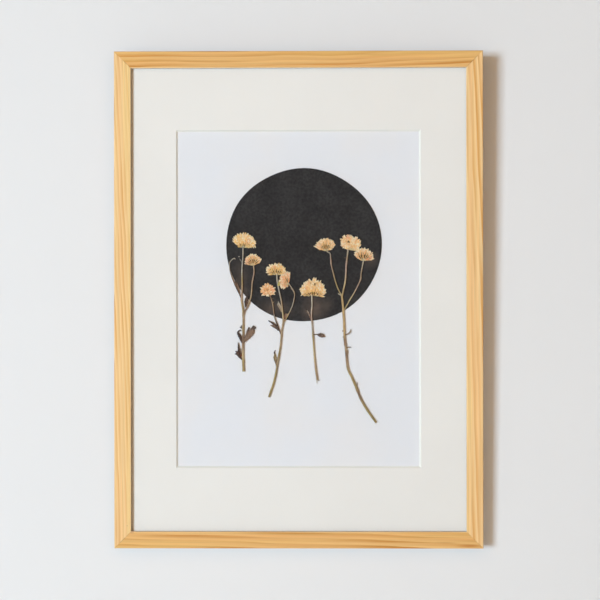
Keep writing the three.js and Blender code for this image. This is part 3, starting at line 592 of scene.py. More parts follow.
class Recipe:
    """The nodes of one material, added by short calls, so that each finish reads as a recipe."""

    def __init__(self, name, roughness=0.8, metallic=0.0):
        self.material = bpy.data.materials.new(name)
        self.material.use_nodes = True
        self.tree = self.material.node_tree
        self.shader = self.tree.nodes["Principled BSDF"]
        self.shader.inputs["Roughness"].default_value = roughness
        self.shader.inputs["Metallic"].default_value = metallic

    def feed(self, socket, value):
        if isinstance(value, bpy.types.NodeSocket):
            self.tree.links.new(value, socket)
        elif socket.type == "RGBA" and len(value) == 3:
            socket.default_value = opaque(value)
        else:
            socket.default_value = value

    def add(self, kind, inputs, **settings):
        node = self.tree.nodes.new(kind)
        node.location = (-200 * len(self.tree.nodes), 0)
        for key, value in settings.items():
            setattr(node, key, value)
        for key, value in inputs.items():
            self.feed(node.inputs[key], value)
        return node

    def place(self, scale=(1, 1, 1), turn=(0, 0, 0), shift=(0, 0, 0), source=None):
        """Object coordinates, or another vector, scaled, turned and moved."""
        vector = source or self.add("ShaderNodeTexCoord", {}).outputs["Object"]
        inputs = {"Vector": vector, "Scale": scale, "Rotation": turn, "Location": shift}
        return self.add("ShaderNodeMapping", inputs).outputs["Vector"]

    def axes(self, vector):
        return self.add("ShaderNodeSeparateXYZ", {"Vector": vector}).outputs

    def noise(self, vector, scale=1.0, detail=3.0, roughness=0.55):
        inputs = {"Vector": vector, "Scale": scale, "Detail": detail, "Roughness": roughness}
        return self.add("ShaderNodeTexNoise", inputs).outputs["Fac"]

    def maths(self, operation, first, second=0.0, third=0.0):
        inputs = {0: first, 1: second, 2: third}
        return self.add("ShaderNodeMath", inputs, operation=operation).outputs["Value"]

    def times(self, first, second):
        return self.maths("MULTIPLY", first, second)

    def remap(self, value, low, high, to_low=0.0, to_high=1.0):
        inputs = {"Value": value, "From Min": low, "From Max": high, "To Min": to_low, "To Max": to_high}
        return self.add("ShaderNodeMapRange", inputs, interpolation_type="SMOOTHSTEP").outputs["Result"]

    def blend(self, first, second, amount, mode="MIX"):
        node = self.add("ShaderNodeMix", {0: amount}, data_type="RGBA", blend_type=mode)
        self.feed(node.inputs[6], first)
        self.feed(node.inputs[7], second)
        return node.outputs[2]

    def lighten(self, colour_in, value):
        """A colour multiplied by a grey value."""
        grey = self.add("ShaderNodeCombineColor", {"Red": value, "Green": value, "Blue": value})
        return self.blend(colour_in, grey.outputs["Color"], 1.0, "MULTIPLY")

    def tone(self, colour_in, value, low, high, dark, bright):
        """A colour made darker or brighter as a value goes from low to high."""
        return self.lighten(colour_in, self.remap(value, low, high, dark, bright))

    def ramp(self, value, stops):
        node = self.add("ShaderNodeValToRGB", {"Fac": value})
        points = node.color_ramp.elements
        while len(points) < len(stops):
            points.new(0.5)
        for point, (place, shade) in zip(points, stops):
            point.position = place
            point.color = opaque(shade)
        return node.outputs["Color"]

    def bump(self, height, distance, strength=1.0):
        inputs = {"Height": height, "Distance": distance, "Strength": strength}
        self.feed(self.shader.inputs["Normal"], self.add("ShaderNodeBump", inputs).outputs["Normal"])

    def paint(self, colour_in):
        self.feed(self.shader.inputs["Base Color"], colour_in)
        return self.material

    def near(self, x, z, across, up):
        """1 at a place given in mm, falling to 0 at an ellipse around it."""
        scale = (1 / (across * MM), 0, 1 / (up * MM))
        shift = (-x / across, 0, -(FRAME_MIDDLE_Z / MM + z) / up)
        return self.remap(self.far(self.place(scale, shift=shift)), 0.0, 1.0, 1.0, 0.0)

    def far(self, vector):
        """How long a vector is."""
        return self.add("ShaderNodeVectorMath", {0: vector}, operation="LENGTH").outputs["Value"]

    def see_through(self, amount):
        """Lets light straight through by an amount from 0 to 1."""
        clear = self.add("ShaderNodeBsdfTransparent", {"Color": (1.0, 1.0, 1.0, 1.0)})
        inputs = {0: amount, 1: self.shader.outputs["BSDF"], 2: clear.outputs["BSDF"]}
        both = self.add("ShaderNodeMixShader", inputs).outputs["Shader"]
        self.feed(self.tree.nodes["Material Output"].inputs["Surface"], both)
        return self.material


def tinted(shade, tint):
    return tuple(a * b for a, b in zip(shade, tint))


def pine(side, rails):
    """Pine with its rings and fibres running along the rail, and the lines of the mitres."""
    upright = side in ("left", "right")
    # The uprights take the lighter colours: partly tone, partly painted sheen along their grain.
    light, dark = (rails.side_light, rails.side_dark) if upright else (rails.level_light, rails.level_dark)
    grain = GRAINS[side]
    wood = Recipe(f"pine_{side}", rails.roughness)
    x, depth, z = wood.axes(wood.place(shift=(0, -RAIL_FRONT_Y, -FRAME_MIDDLE_Z)))
    from_side = wood.maths("SUBTRACT", FRAME_HALF_W, wood.maths("ABSOLUTE", x))
    from_end = wood.maths("SUBTRACT", FRAME_HALF_H, wood.maths("ABSOLUTE", z))
    across, along = (from_side, z) if upright else (from_end, x)
    parts = {"X": wood.maths("ADD", along, grain["seed"]), "Y": across, "Z": depth}
    board = wood.add("ShaderNodeCombineXYZ", parts).outputs["Vector"]

    bow = wood.noise(wood.place((4.5, 6, 6), source=board), 1.0, 2.0)
    ripple = wood.noise(wood.place((22, 50, 50), source=board), 1.0, 1.0)
    heart = (0, grain["heart"][0] * MM, grain["heart"][1] * MM)
    radius = wood.far(wood.place((0, 1, 1), shift=heart, source=board))
    slope = wood.maths("MULTIPLY_ADD", along, grain["curve"], grain["lean"])
    radius = wood.maths("MULTIPLY_ADD", along, slope, radius)
    radius = wood.maths("MULTIPLY_ADD", bow, grain["bow"] * MM, radius)
    radius = wood.maths("MULTIPLY_ADD", ripple, 1.5 * MM, radius)
    year = wood.maths("FRACT", wood.maths("DIVIDE", radius, rails.ring_pitch * grain["pitch"]))
    late = wood.times(wood.remap(year, 0.1, 0.86), wood.remap(year, 0.88, 1.0, 1.0, 0.0))
    bold = wood.noise(wood.place((6, 210, 210), source=board), 1.0, 1.0)
    shade = wood.blend(light, dark, wood.times(late, wood.remap(bold, 0.34, 0.66, 0.25, 1.0)))

    rosy = wood.noise(wood.place((4, 150, 150), shift=(5, 0, 0), source=board))
    rosy = wood.remap(rosy, 0.45, 0.68, 0.0, 0.6)
    shade = wood.blend(shade, tinted(light, (0.96, 0.84, 0.78)), rosy)
    yellow = wood.noise(wood.place((3, 110, 110), shift=(9, 0, 0), source=board))
    yellow = wood.remap(yellow, 0.48, 0.7, 0.0, 0.6)
    shade = wood.blend(shade, tinted(light, (0.97, 1.0, 0.84)), yellow)
    lines = wood.noise(wood.place((8, 900, 900), source=board), 1.0, 3.0, 0.6)
    shade = wood.tone(shade, lines, 0.3, 0.7, 0.91, 1.05)
    fibre = wood.noise(wood.place((40, 3000, 3000), source=board), 1.0, 2.0, 0.6)
    shade = wood.tone(shade, fibre, 0.25, 0.75, 0.96, 1.03)
    ducts = wood.noise(wood.place((70, 4200, 4200), shift=(3, 0, 0), source=board), 1.0, 1.0)
    shade = wood.tone(shade, ducts, 0.68, 0.84, 1.0, 0.84)

    lip = wood.remap(across, RAIL_W - 0.75 * MM, RAIL_W - 0.1 * MM, 0.0, 0.75)
    shade = wood.blend(shade, rails.lip, lip)
    for *oval, patch, amount in RAIL_MARKS[side]:
        shade = wood.blend(shade, linear(*patch), wood.times(wood.near(*oval), amount))
    shade = wood.lighten(shade, mitre_line(wood, from_side, from_end))
    wood.bump(wood.maths("MULTIPLY_ADD", late, 0.6, lines), 0.04 * MM, 0.5)
    rough = wood.remap(lines, 0.2, 0.8, rails.roughness - 0.06, rails.roughness + 0.08)
    wood.feed(wood.shader.inputs["Roughness"], rough)
    return wood.paint(shade)


# Grain of each rail: where along the log it was cut (seed, in metres), the middle of the tree in mm
# across the face and behind it, how far the rings lean, curve (per metre) and bow (mm) along the
# rail, and their pitch as a share of the frame's.
GRAINS = {
    "left": {"seed": 0.3, "heart": (74, 22), "lean": 0.045, "curve": 0.07, "bow": 6.0, "pitch": 0.84},
    "right": {"seed": 1.9, "heart": (60, 34), "lean": -0.04, "curve": -0.02, "bow": 7.0, "pitch": 1.15},
    "top": {"seed": 3.1, "heart": (52, 30), "lean": 0.024, "curve": 0.12, "bow": 9.0, "pitch": 1.1},
    "bottom": {"seed": 4.7, "heart": (64, 40), "lean": 0.028, "curve": 0.02, "bow": 9.0, "pitch": 1.15},
}

# Marks on the rails: place, half width and half height, colour and strength.
RAIL_MARKS = {
    "bottom": [
        (146.0, -210.4, 16.0, 2.2, (186, 120, 54), 0.75),
        (-143.0, -199.2, 3.0, 1.4, (160, 100, 78), 0.4),
        (126.0, -207.6, 14.0, 1.0, (196, 138, 74), 0.5),
        (-60.0, -203.6, 30.0, 1.1, (206, 146, 76), 0.4),
    ],
    "left": [
        (-146.9, -193.4, 1.7, 1.7, (255, 218, 160), 0.5),
        (-146.9, -193.4, 0.7, 0.7, (150, 104, 60), 0.85),
        (-156.2, -196.0, 1.4, 30.0, (222, 158, 104), 0.5),
    ],
    "right": [(155.2, -150.0, 1.3, 70.0, (214, 158, 84), 0.45)],
    "top": [(60.0, 209.6, 40.0, 1.2, (200, 142, 76), 0.4)],
}


def mitre_line(wood, from_side, from_end):
    """A dark line where two rails meet, plain in some places and faint in others."""
    off_line = wood.maths("ABSOLUTE", wood.maths("SUBTRACT", from_side, from_end))
    line = wood.remap(off_line, 0.08 * MM, 0.42 * MM, 1.0, 0.0)
    patchy = wood.remap(wood.noise(wood.place(), 150.0, 2.0), 0.4, 0.62)
    corner = wood.maths("LESS_THAN", wood.maths("MAXIMUM", from_side, from_end), RAIL_W * 1.02)
    dark = wood.times(wood.times(line, patchy), corner)
    return wood.maths("SUBTRACT", 1.0, wood.times(dark, 0.4))


def paper_tooth(sheet, scale, depth, strength=0.5):
    """The fine felt of paper or board, as a bump and a slight change of tone."""
    felt = sheet.noise(sheet.place(), scale, 4.0, 0.65)
    sheet.bump(felt, depth, strength)
    return sheet.remap(felt, 0.2, 0.8, 0.975, 1.015)


def mat_finish(sheets):
    """Warm white board, with the brighter core showing on the bevel of the window."""
    board = Recipe("mat_white", 0.9)
    x, _, z = board.axes(board.place(shift=(0, 0, -FRAME_MIDDLE_Z - WINDOW_RISE)))
    across = board.maths("SUBTRACT", board.maths("ABSOLUTE", x), WINDOW_HALF_W)
    up = board.maths("SUBTRACT", board.maths("ABSOLUTE", z), WINDOW_HALF_H)
    core = board.maths("LESS_THAN", board.maths("MAXIMUM", across, up), BEVEL_W)
    shade = board.blend(sheets.mat, sheets.mat_core, core)
    shade = board.tone(shade, board.noise(board.place(), 9.0, 2.0), 0.3, 0.7, 0.985, 1.01)
    return board.paint(board.lighten(shade, paper_tooth(board, 1500.0, 0.02 * MM)))


def paper_finish(sheets):
    """Cool white sheet with a little cloudiness."""
    paper = Recipe("paper_white", 0.85)
    cloud = paper.noise(paper.place(), 14.0, 2.0)
    warm = tinted(sheets.paper, (1.02, 1.0, 0.975))
    shade = paper.blend(sheets.paper, warm, paper.remap(cloud, 0.35, 0.65))
    return paper.paint(paper.lighten(shade, paper_tooth(paper, 2200.0, 0.01 * MM, 0.4)))


# Lighter brown patches on the disc: place, half width and half height, and strength.
DISC_BROWN_PATCHES = (
    (13.0, -9.0, 15.0, 15.0, 1.0),
    (19.0, -4.0, 16.0, 13.0, 0.7),
    (62.0, 34.0, 9.0, 11.0, 0.7),
    (-50.0, 12.0, 13.0, 30.0, 0.62),
    (-20.0, -8.0, 24.0, 12.0, 0.6),
)


def disc_finish(sheets):
    """Matte black paper, mottled, with soft lighter brown patches and a few pale fibres."""
    paper = Recipe("paper_black", 0.95)
    paper.shader.inputs["Specular IOR Level"].default_value = 0.25
    shade = paper.tone(sheets.disc, paper.noise(paper.place(), 60.0, 3.0), 0.3, 0.7, 0.88, 1.14)
    shade = paper.tone(shade, paper.noise(paper.place(), 420.0, 3.0), 0.3, 0.7, 0.82, 1.2)
    patchy = paper.remap(paper.noise(paper.place(), 110.0, 2.0), 0.3, 0.65, 0.45, 1.0)
    # Lighter brown patches at the listed places.
    for *oval, amount in DISC_BROWN_PATCHES:
        patch = paper.times(paper.near(*oval), amount)
        shade = paper.blend(shade, sheets.disc_patch, paper.times(patch, patchy))
    fibres = paper.noise(paper.place((700, 700, 2600)), 1.0, 2.0)
    shade = paper.tone(shade, fibres, 0.62, 0.78, 1.0, 1.25)
    return paper.paint(paper.lighten(shade, paper_tooth(paper, 1800.0, 0.03 * MM, 0.7)))


def hardboard_finish(sheets):
    """Pressed wood fibre: brown, flecked light and dark, with a faint sheen."""
    board = Recipe("hardboard", 0.62)
    flecks = board.noise(board.place((900, 900, 420)), 1.0, 4.0, 0.7)
    dark = tuple(0.55 * part for part in sheets.hardboard)
    pale = tuple(min(1.0, 1.35 * part) for part in sheets.hardboard)
    shade = board.ramp(flecks, [(0.3, dark), (0.5, sheets.hardboard), (0.7, pale)])
    shade = board.tone(shade, board.noise(board.place(), 12.0, 2.0), 0.3, 0.7, 0.88, 1.08)
    board.bump(flecks, 0.06 * MM, 0.6)
    board.feed(board.shader.inputs["Roughness"], board.remap(flecks, 0.3, 0.7, 0.5, 0.78))
    return board.paint(shade)


def metal_finish(name, shade, roughness, streak):
    """Rolled sheet metal: fine streaks one way, and dull spots."""
    metal = Recipe(name, roughness, 1.0)
    lines = metal.noise(metal.place(streak), 1.0, 3.0)
    spots = metal.noise(metal.place(), 380.0, 3.0, 0.7)
    shade = metal.tone(shade, lines, 0.3, 0.7, 0.88, 1.06)
    shade = metal.tone(shade, spots, 0.55, 0.75, 1.0, 0.72)
    rough = metal.maths("ADD", metal.remap(spots, 0.5, 0.75, roughness, roughness + 0.25),
                        metal.remap(lines, 0.3, 0.7, -0.06, 0.08))
    metal.feed(metal.shader.inputs["Roughness"], rough)
    metal.bump(lines, 0.015 * MM, 0.5)
    return metal.paint(shade)


def glass_finish():
    """Clear picture glass that casts no shadow."""
    glass = Recipe("picture_glass", 0.0)
    glass.shader.inputs["Base Color"].default_value = (1.0, 1.0, 1.0, 1.0)
    glass.shader.inputs["Transmission Weight"].default_value = 1.0
    glass.shader.inputs["IOR"].default_value = 1.45
    return glass.see_through(glass.add("ShaderNodeLightPath", {}).outputs["Is Shadow Ray"])


def petal_finish(plants):
    """Dried petals: brown claw, peach, straw or pink body, cream tip that is partly painted highlight, fine
    veins along the length, long edges darkened with painted shade.

    The petal_marks attribute holds each petal's tone, whose lowest values give the painted shade of a
    gap, its pinkness and yellowness, and in its alpha how much it is calyx.
    """
    petal = Recipe("dried_petal", 0.85)
    marks = petal.add("ShaderNodeAttribute", {}, attribute_name="petal_marks")
    tone, blush, straw = petal.add("ShaderNodeSeparateColor", {"Color": marks.outputs["Color"]}).outputs
    uv = petal.add("ShaderNodeUVMap", {}, uv_map="UVMap").outputs["UV"]
    across, along, _ = petal.axes(uv)
    body = petal.blend(plants.peach, plants.straw, straw)
    body = petal.blend(body, plants.pink, blush)
    # Cream towards the tip of the paler petals: their own colour, and partly a painted highlight.
    pale = petal.remap(tone, 0.55, 0.95, 0.2, 1.0)
    tip = petal.times(petal.remap(along, 0.55, 1.0), pale)
    body = petal.blend(body, plants.cream, tip)
    body = petal.blend(plants.claw, body, petal.remap(along, 0.0, 0.22))
    # Darker along the long edges of each petal: painted shade between neighbouring petals.
    edge_shade = petal.maths("ABSOLUTE", petal.maths("SUBTRACT", across, 0.5))
    body = petal.tone(body, edge_shade, 0.36, 0.5, 1.0, 0.86)
    veins = petal.maths("SINE", petal.times(across, 30.0))
    wander = petal.noise(petal.place(), 1500.0, 2.0)
    ribs = petal.times(veins, petal.remap(wander, 0.3, 0.7, 0.4, 1.0))
    body = petal.tone(body, ribs, -1.0, 1.0, 0.96, 1.03)
    body = petal.tone(body, petal.noise(petal.place(), 420.0, 2.0), 0.3, 0.7, 0.95, 1.05)
    body = petal.blend(body, plants.calyx, marks.outputs["Alpha"])
    # Low tones take the gap colour: painted shade between the petals.
    body = petal.blend(plants.gap, body, petal.remap(tone, 0.0, 0.54))
    petal.bump(petal.maths("ADD", ribs, petal.times(wander, 1.5)), 0.03 * MM, 0.5)
    return petal.paint(body)


def dried_finish(name, roughness, streaks, depth):
    """Dried stem or leaf: the dye attribute gives its colour, fibres run along its length, and painted shade
    and light run across it.

    The grain attribute holds a place across, a place through and the length along, in metres.
    """
    plant = Recipe(name, roughness)
    dye = plant.add("ShaderNodeAttribute", {}, attribute_name="dye").outputs["Color"]
    grain = plant.add("ShaderNodeAttribute", {}, attribute_name="grain").outputs["Vector"]
    fibre = plant.noise(plant.place(streaks, source=grain), 1.0, 3.0, 0.6)
    specks = plant.noise(plant.place(), 1300.0, 3.0, 0.6)
    patches = plant.noise(plant.place(source=grain), 260.0, 2.0)
    shade = plant.tone(dye, fibre, 0.3, 0.7, 0.74, 1.18)
    shade = plant.tone(shade, patches, 0.3, 0.7, 0.86, 1.1)
    shade = plant.tone(shade, specks, 0.58, 0.74, 1.0, 0.62)
    # Darker towards one side across the width and lighter towards the other; on the stems, painted shade on
    # the left side, which the key lamp lights, and painted light on the right side, which it leaves in
    # shade.
    shade = plant.tone(shade, plant.axes(grain)[0], -1.1 * MM, 1.1 * MM, 0.86, 1.06)
    plant.bump(plant.maths("ADD", fibre, plant.times(specks, 0.4)), depth, 0.6)
    return plant.paint(shade)


def plain_finish(name, shade, roughness, one_sided=False):
    """Plain plaster or floor with a very faint grain. One sided, it isn't seen from behind."""
    plaster = Recipe(name, roughness)
    cloud = plaster.noise(plaster.place(), 3.0, 2.0)
    plaster.paint(plaster.tone(shade, cloud, 0.3, 0.7, 0.992, 1.006))
    if one_sided:
        plaster.see_through(plaster.add("ShaderNodeNewGeometry", {}).outputs["Backfacing"])
    return plaster.material


def at(x, z, y=ROOM_MIDDLE_Y):
    """A place given in mm from the middle of the frame, in metres in the shared frame."""
    return Vector((x * MM, y, FRAME_MIDDLE_Z + z * MM))


def heading(degrees):
    """The direction of an angle clockwise from straight up, as seen from the front."""
    turn = math.radians(degrees)
    return Vector((math.sin(turn), 0.0, math.cos(turn)))


def flat(way):
    """A direction as x and z only, in a vector whose third number is spare."""
    return Vector((way.x, way.z, 0.0))


def coat(node, material):
    """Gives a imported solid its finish."""
    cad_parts[node].material_slots[0].material = material


def select_only(*objects):
    bpy.ops.object.select_all(action="DESELECT")
    for thing in objects:
        thing.select_set(True)
    bpy.context.view_layer.objects.active = objects[0]


def open_for_edit(piece):
    """Goes to edit mode on one piece, with all of it selected."""
    select_only(piece)
    bpy.ops.object.mode_set(mode="EDIT")
    bpy.ops.mesh.select_all(action="SELECT")


def press(piece, squeeze, middle):
    """Squeezes a piece front to back, and moves its middle to the middle of the room."""
    open_for_edit(piece)
    bpy.ops.transform.resize(value=(1, squeeze, 1), center_override=(0, middle, 0))
    bpy.ops.transform.translate(value=(0, ROOM_MIDDLE_Y - middle, 0))
    bpy.ops.object.mode_set(mode="OBJECT")


def fit_room(piece):
    """Presses a piece between the glass and the disc, wherever it stands proud of that room."""
    depths = [vertex.co.y for vertex in piece.data.vertices]
    low, high = min(depths), max(depths)
    press(piece, min(1.0, ROOM_DEPTH / (high - low)), (low + high) / 2)


def dye_and_grain(mesh):
    """New attributes of a dried piece's mesh: its colour, and its place along the fibres."""
    mesh.attributes.new("dye", "FLOAT_COLOR", "POINT")
    mesh.attributes.new("grain", "FLOAT_VECTOR", "POINT")
    return mesh.attributes["dye"].data, mesh.attributes["grain"].data


def joined(name, things):
    """Several objects as one mesh object."""
    select_only(*things)
    if len(things) > 1:
        bpy.ops.object.join()
    result = bpy.context.object
    result.name = result.data.name = name
    return result


def hand_over(piece, slot, material, *nodes):
    """Gives a finished piece its material and its place in the frame."""
    piece.data.materials.clear()
    piece.data.materials.append(material)
    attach(piece, "root")
    if nodes:
        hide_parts(*nodes)


def smooth_route(points, steps):
    """Points along a Catmull-Rom curve through the given ones, and the length up to each."""
    ends = [points[0] * 2 - points[1], *points, points[-1] * 2 - points[-2]]
    route = []
    for i in range(1, len(ends) - 2):
        a, b, c, d = ends[i - 1:i + 3]
        for k in range(steps):
            t = k / steps
            route.append(0.5 * (2 * b + (c - a) * t + (2 * a - 5 * b + 4 * c - d) * t * t
                                + (3 * b - 3 * c + d - a) * t ** 3))
    route.append(points[-1].copy())
    lengths = [0.0]
    for before, after in zip(route, route[1:]):
        lengths.append(lengths[-1] + (after - before).length)
    return route, lengths


def between(stops, place):
    """The colour at a share of the length, between the two dyes around it."""
    for (low, first), (high, second) in zip(stops, stops[1:]):
        if place <= high:
            part = max(0.0, (place - low) / (high - low))
            return dye_colour(first).lerp(dye_colour(second), part)
    return dye_colour(stops[-1][1])


def ribbed_section(ribs=6, sides=18, depth=0.09):
    """The ribbed cross-section that the stems are swept with, one unit in radius."""
    section = bpy.data.curves.new("stem_section", "CURVE")
    section.dimensions = "2D"
    spline = section.splines.new("POLY")
    spline.points.add(sides - 1)
    spline.use_cyclic_u = True
    for i, point in enumerate(spline.points):
        turn = 2 * math.pi * i / sides
        radius = 1 - depth * (0.5 - 0.5 * math.cos(ribs * turn))
        point.co = (radius * math.cos(turn), radius * math.sin(turn), 0.0, 1.0)
    return bpy.data.objects.new("stem_section", section)


def swept(name, route, radii, section):
    """A tube through the route with a radius at each point, turned into a mesh."""
    curve = bpy.data.curves.new(name, "CURVE")
    curve.dimensions = "3D"
    curve.bevel_mode = "OBJECT"
    curve.bevel_object = section
    curve.use_fill_caps = True
    curve.twist_mode = "MINIMUM"
    spline = curve.splines.new("POLY")
    spline.points.add(len(route) - 1)
    for point, place, radius in zip(spline.points, route, radii):
        point.co = (*place, 1.0)
        point.radius = radius
    tube = bpy.data.objects.new(name, curve)
    bpy.context.collection.objects.link(tube)
    select_only(tube)
    bpy.ops.object.convert(target="MESH")
    tube = bpy.context.object
    open_for_edit(tube)
    bpy.ops.mesh.remove_doubles(threshold=1e-6)
    bpy.ops.mesh.normals_make_consistent(inside=False)
    bpy.ops.object.mode_set(mode="OBJECT")
    return tube


def dye_tube(tube, route, lengths, shades):
    """Writes the colour and the grain of a stem at each vertex, from the nearest point of its route."""
    tree = kdtree.KDTree(len(route))
    for i, place in enumerate(route):
        tree.insert(place, i)
    tree.balance()
    dye, grain = dye_and_grain(tube.data)
    for vertex in tube.data.vertices:
        middle, i, _ = tree.find(vertex.co)
        off = (vertex.co - middle).normalized()
        dye[vertex.index].color = opaque(shades[i])
        grain[vertex.index].vector = (off.x * MM, off.y * MM, lengths[i])


def stem_tube(name, route_points, width, taper, knots, dyes, section, rng):
    """One stem or spur: swollen at its knots, thinner towards its tip, a little uneven."""
    steps = round(SPAN_STEPS / max(1, len(route_points) / SPAN_STEPS))
    route, lengths = smooth_route([at(x, z) for x, z in route_points], steps)
    total = lengths[-1]
    phase = rng.uniform(0, 100)
    radii = []
    shades = []
    for place, run in zip(route, lengths):
        part = run / total
        radius = STEM_WIDTH_SHARE * width / 2 * (1 + (taper - 1) * part)
        for where, swell in knots:
            spread = (part - where) * total / KNOT_LENGTH
            radius *= 1 + swell * math.exp(-spread * spread)
        radius *= 1 + SWELL * noise.noise(Vector((phase, run / SWELL_LENGTH, 0)))
        radii.append(radius * MM)
        shades.append(between(dyes, part))
        place.x += WANDER * noise.noise(Vector((run / WANDER_LENGTH, phase, 0)))
    tube = swept(name, route, radii, section)
    dye_tube(tube, route, lengths, shades)
    return tube, max(radii)


def make_stem(name, stem, section, material, seed):
    """One stem with its spurs, pressed flat so that it fits between the glass and the disc."""
    rng = random.Random(seed)
    tube, widest = stem_tube(name, stem["route"], stem["width"], stem["taper"], stem["knots"],
                             stem["dyes"], section, rng)
    parts = [tube]
    for route, width, dye in stem["spurs"]:
        dyes = [(0.0, dye), (1.0, dye)]
        spur, _ = stem_tube(name + "_spur", route, width, SPUR_TAPER, SPUR_KNOTS, dyes, section, rng)
        parts.append(spur)
    piece = joined(name, parts)
    half_room = ROOM_DEPTH / 2 - STEM_CLEARANCE
    press(piece, min(STEM_FLATNESS, half_room / widest), ROOM_MIDDLE_Y)
    bpy.ops.object.shade_smooth_by_angle(angle=math.radians(50))
    hand_over(piece, "dried_stem", material, name)


def blade(name, route_points, widths, dyes, plants, rng):
    """One blade of a dried leaf: a strip folded along its rib, wrinkled, with curled edges."""
    route, lengths = smooth_route([at(x, z) for x, z in route_points], BLADE_STEPS)
    select_only(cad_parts["mat_board"])
    bpy.ops.mesh.primitive_grid_add(x_subdivisions=BLADE_COLUMNS, y_subdivisions=BLADE_ROWS, size=1.0,
                                    location=(0, 0, 0))
    leaf = bpy.context.object
    leaf.name = name
    dye, grain = dye_and_grain(leaf.data)
    fold = rng.uniform(0.15, 0.45) * rng.choice((-1, 1))
    phase = rng.uniform(0, 100)
    first, last = (dye_colour(dye_name) for dye_name in dyes)
    for vertex in leaf.data.vertices:
        side, part = 2 * vertex.co.x, vertex.co.y + 0.5
        run = part * (len(route) - 1)
        i = min(int(run), len(route) - 2)
        place = route[i].lerp(route[i + 1], run - i)
        ahead = (route[i + 1] - route[i]).normalized()
        outward = Vector((ahead.z, 0.0, -ahead.x))
        step = part * (len(widths) - 1)
        k = min(int(step), len(widths) - 2)
        half = 0.5 * MM * (widths[k] + (widths[k + 1] - widths[k]) * (step - k))
        ragged = 1 + 0.3 * noise.noise(Vector((phase, part * 9, 3 * (side > 0))))
        ripple = noise.noise(Vector((phase + side * 1.3, part * 7, 0)))
        lift = half * (fold * abs(side) + 0.35 * side * ripple) + plants.wrinkle * ripple
        vertex.co = place + outward * (half * side * ragged) + Vector((0, lift, 0))
        mottle = 1 + 0.35 * noise.noise(Vector((phase, part * 6, side * 2)))
        dye[vertex.index].color = opaque(first.lerp(last, part) * mottle)
        grain[vertex.index].vector = (side * half, 0.0, lengths[i])
    thicken = leaf.modifiers.new("thickness", "SOLIDIFY")
    thicken.thickness = plants.leaf_thickness
    thicken.offset = 0.0
    select_only(leaf)
    bpy.ops.object.modifier_apply(modifier=thicken.name)
    return leaf


def make_leaf(name, blades, plants, material, seed):
    """A leaf of one or more blades, pressed to fit the room."""
    rng = random.Random(seed)
    parts = [blade(name, route, widths, dyes, plants, rng) for route, widths, dyes in blades]
    piece = joined(name, parts)
    fit_room(piece)
    bpy.ops.object.shade_smooth()
    slot = "dried_stem" if name.startswith("twig") else "dried_leaf"
    hand_over(piece, slot, material, name)


# Petal shapes, in rows from the claw to the tip: widths as shares of the full width, and how far each
# row bows up as a share of the petal's lift.
PETAL_SHAPES = (
    ((0.34, 0.5, 0.78, 0.97, 1.0, 0.86, 0.4), (0.0, 0.25, 0.55, 0.85, 1.0, 1.0, 0.85)),
    ((0.3, 0.46, 0.72, 0.94, 0.96, 0.7, 0.16), (0.0, 0.2, 0.45, 0.7, 0.95, 1.15, 1.25)),
    ((0.36, 0.52, 0.7, 0.86, 1.0, 0.98, 0.62), (0.0, 0.3, 0.7, 1.0, 1.05, 0.8, 0.4)),
    ((0.32, 0.44, 0.62, 0.84, 0.9, 0.6, 0.22), (0.0, 0.15, 0.3, 0.5, 0.8, 1.0, 0.9)),
)

# How far a petal's middle lies below its long edges, and its thickness, as shares of its lift.
PETAL_TROUGH = 0.5
PETAL_THICKNESS = 0.16

# The fan of a head seen face on, and the powers of the outlines: 2 gives an ellipse, for those heads,
# and a little less draws the shoulders of the others in.
ALL_ROUND = (-180, 180)
ROUND_POWER = 2.0
DOME_POWER = 1.8

# How far out the tips of the outermost petals stand, as a share, and the fewest petals in a ring.
TIPS_OUT = 0.97
FEWEST_PETALS = 6

# In mm: where the search for the outline starts and ends, its step, and the shortest petal and the
# longest stray.
SEARCH_FROM = 30.0
SEARCH_TO = 0.5
SEARCH_STEP = 0.1
SHORTEST_PETAL = 0.8
LONGEST_STRAY = 4.6

# Short petals at the eye of a head seen face on, and calyx leaves under one seen from the side.
EYE_PETALS = 10
CALYX_LEAVES = 7

# Which of the petal shapes the petals at the eye, the strays, and the ribs and calyx leaves take.
EYE_SHAPE = 2
STRAY_SHAPE = 1
RIB_SHAPE = 3


def petal_shape(number):
    """One petal, a unit long and wide, lying along Y and bowed up: the pattern for all its copies."""
    widths, bow = PETAL_SHAPES[number]
    rows = len(widths)
    select_only(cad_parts["mat_board"])
    bpy.ops.mesh.primitive_grid_add(x_subdivisions=3, y_subdivisions=rows - 1, size=1.0,
                                    location=(0, 0, 0))
    petal = bpy.context.object
    petal.name = f"petal_shape_{number}"
    bpy.ops.object.mode_set(mode="EDIT")
    bpy.ops.mesh.select_mode(type="VERT")
    for row in range(rows):
        bpy.ops.mesh.select_all(action="DESELECT")
        shape = bmesh.from_edit_mesh(petal.data)
        line = row / (rows - 1) - 0.5
        for vertex in shape.verts:
            vertex.select = abs(vertex.co.y - line) < 1e-3
        shape.select_flush_mode()
        bpy.ops.transform.resize(value=(widths[row], 1, 1), center_override=(0, line, 0))
        bpy.ops.transform.translate(value=(0, 0, bow[row]))
    bpy.ops.mesh.select_all(action="DESELECT")
    shape = bmesh.from_edit_mesh(petal.data)
    for vertex in shape.verts:
        vertex.select = abs(vertex.co.x) < 0.2 and abs(vertex.co.y - 0.5) > 1e-3
    shape.select_flush_mode()
    bpy.ops.transform.translate(value=(0, 0, -PETAL_TROUGH))
    bpy.ops.mesh.select_all(action="SELECT")
    bpy.ops.transform.translate(value=(0, 0.5, 0))
    bpy.ops.object.mode_set(mode="OBJECT")
    thicken = petal.modifiers.new("thickness", "SOLIDIFY")
    thicken.thickness = PETAL_THICKNESS
    thicken.offset = -1.0
    bpy.ops.object.modifier_apply(modifier=thicken.name)
    bpy.ops.object.shade_smooth_by_angle(angle=math.radians(65))
    petal.data.attributes.new("petal_marks", "FLOAT_COLOR", "POINT")
    return petal


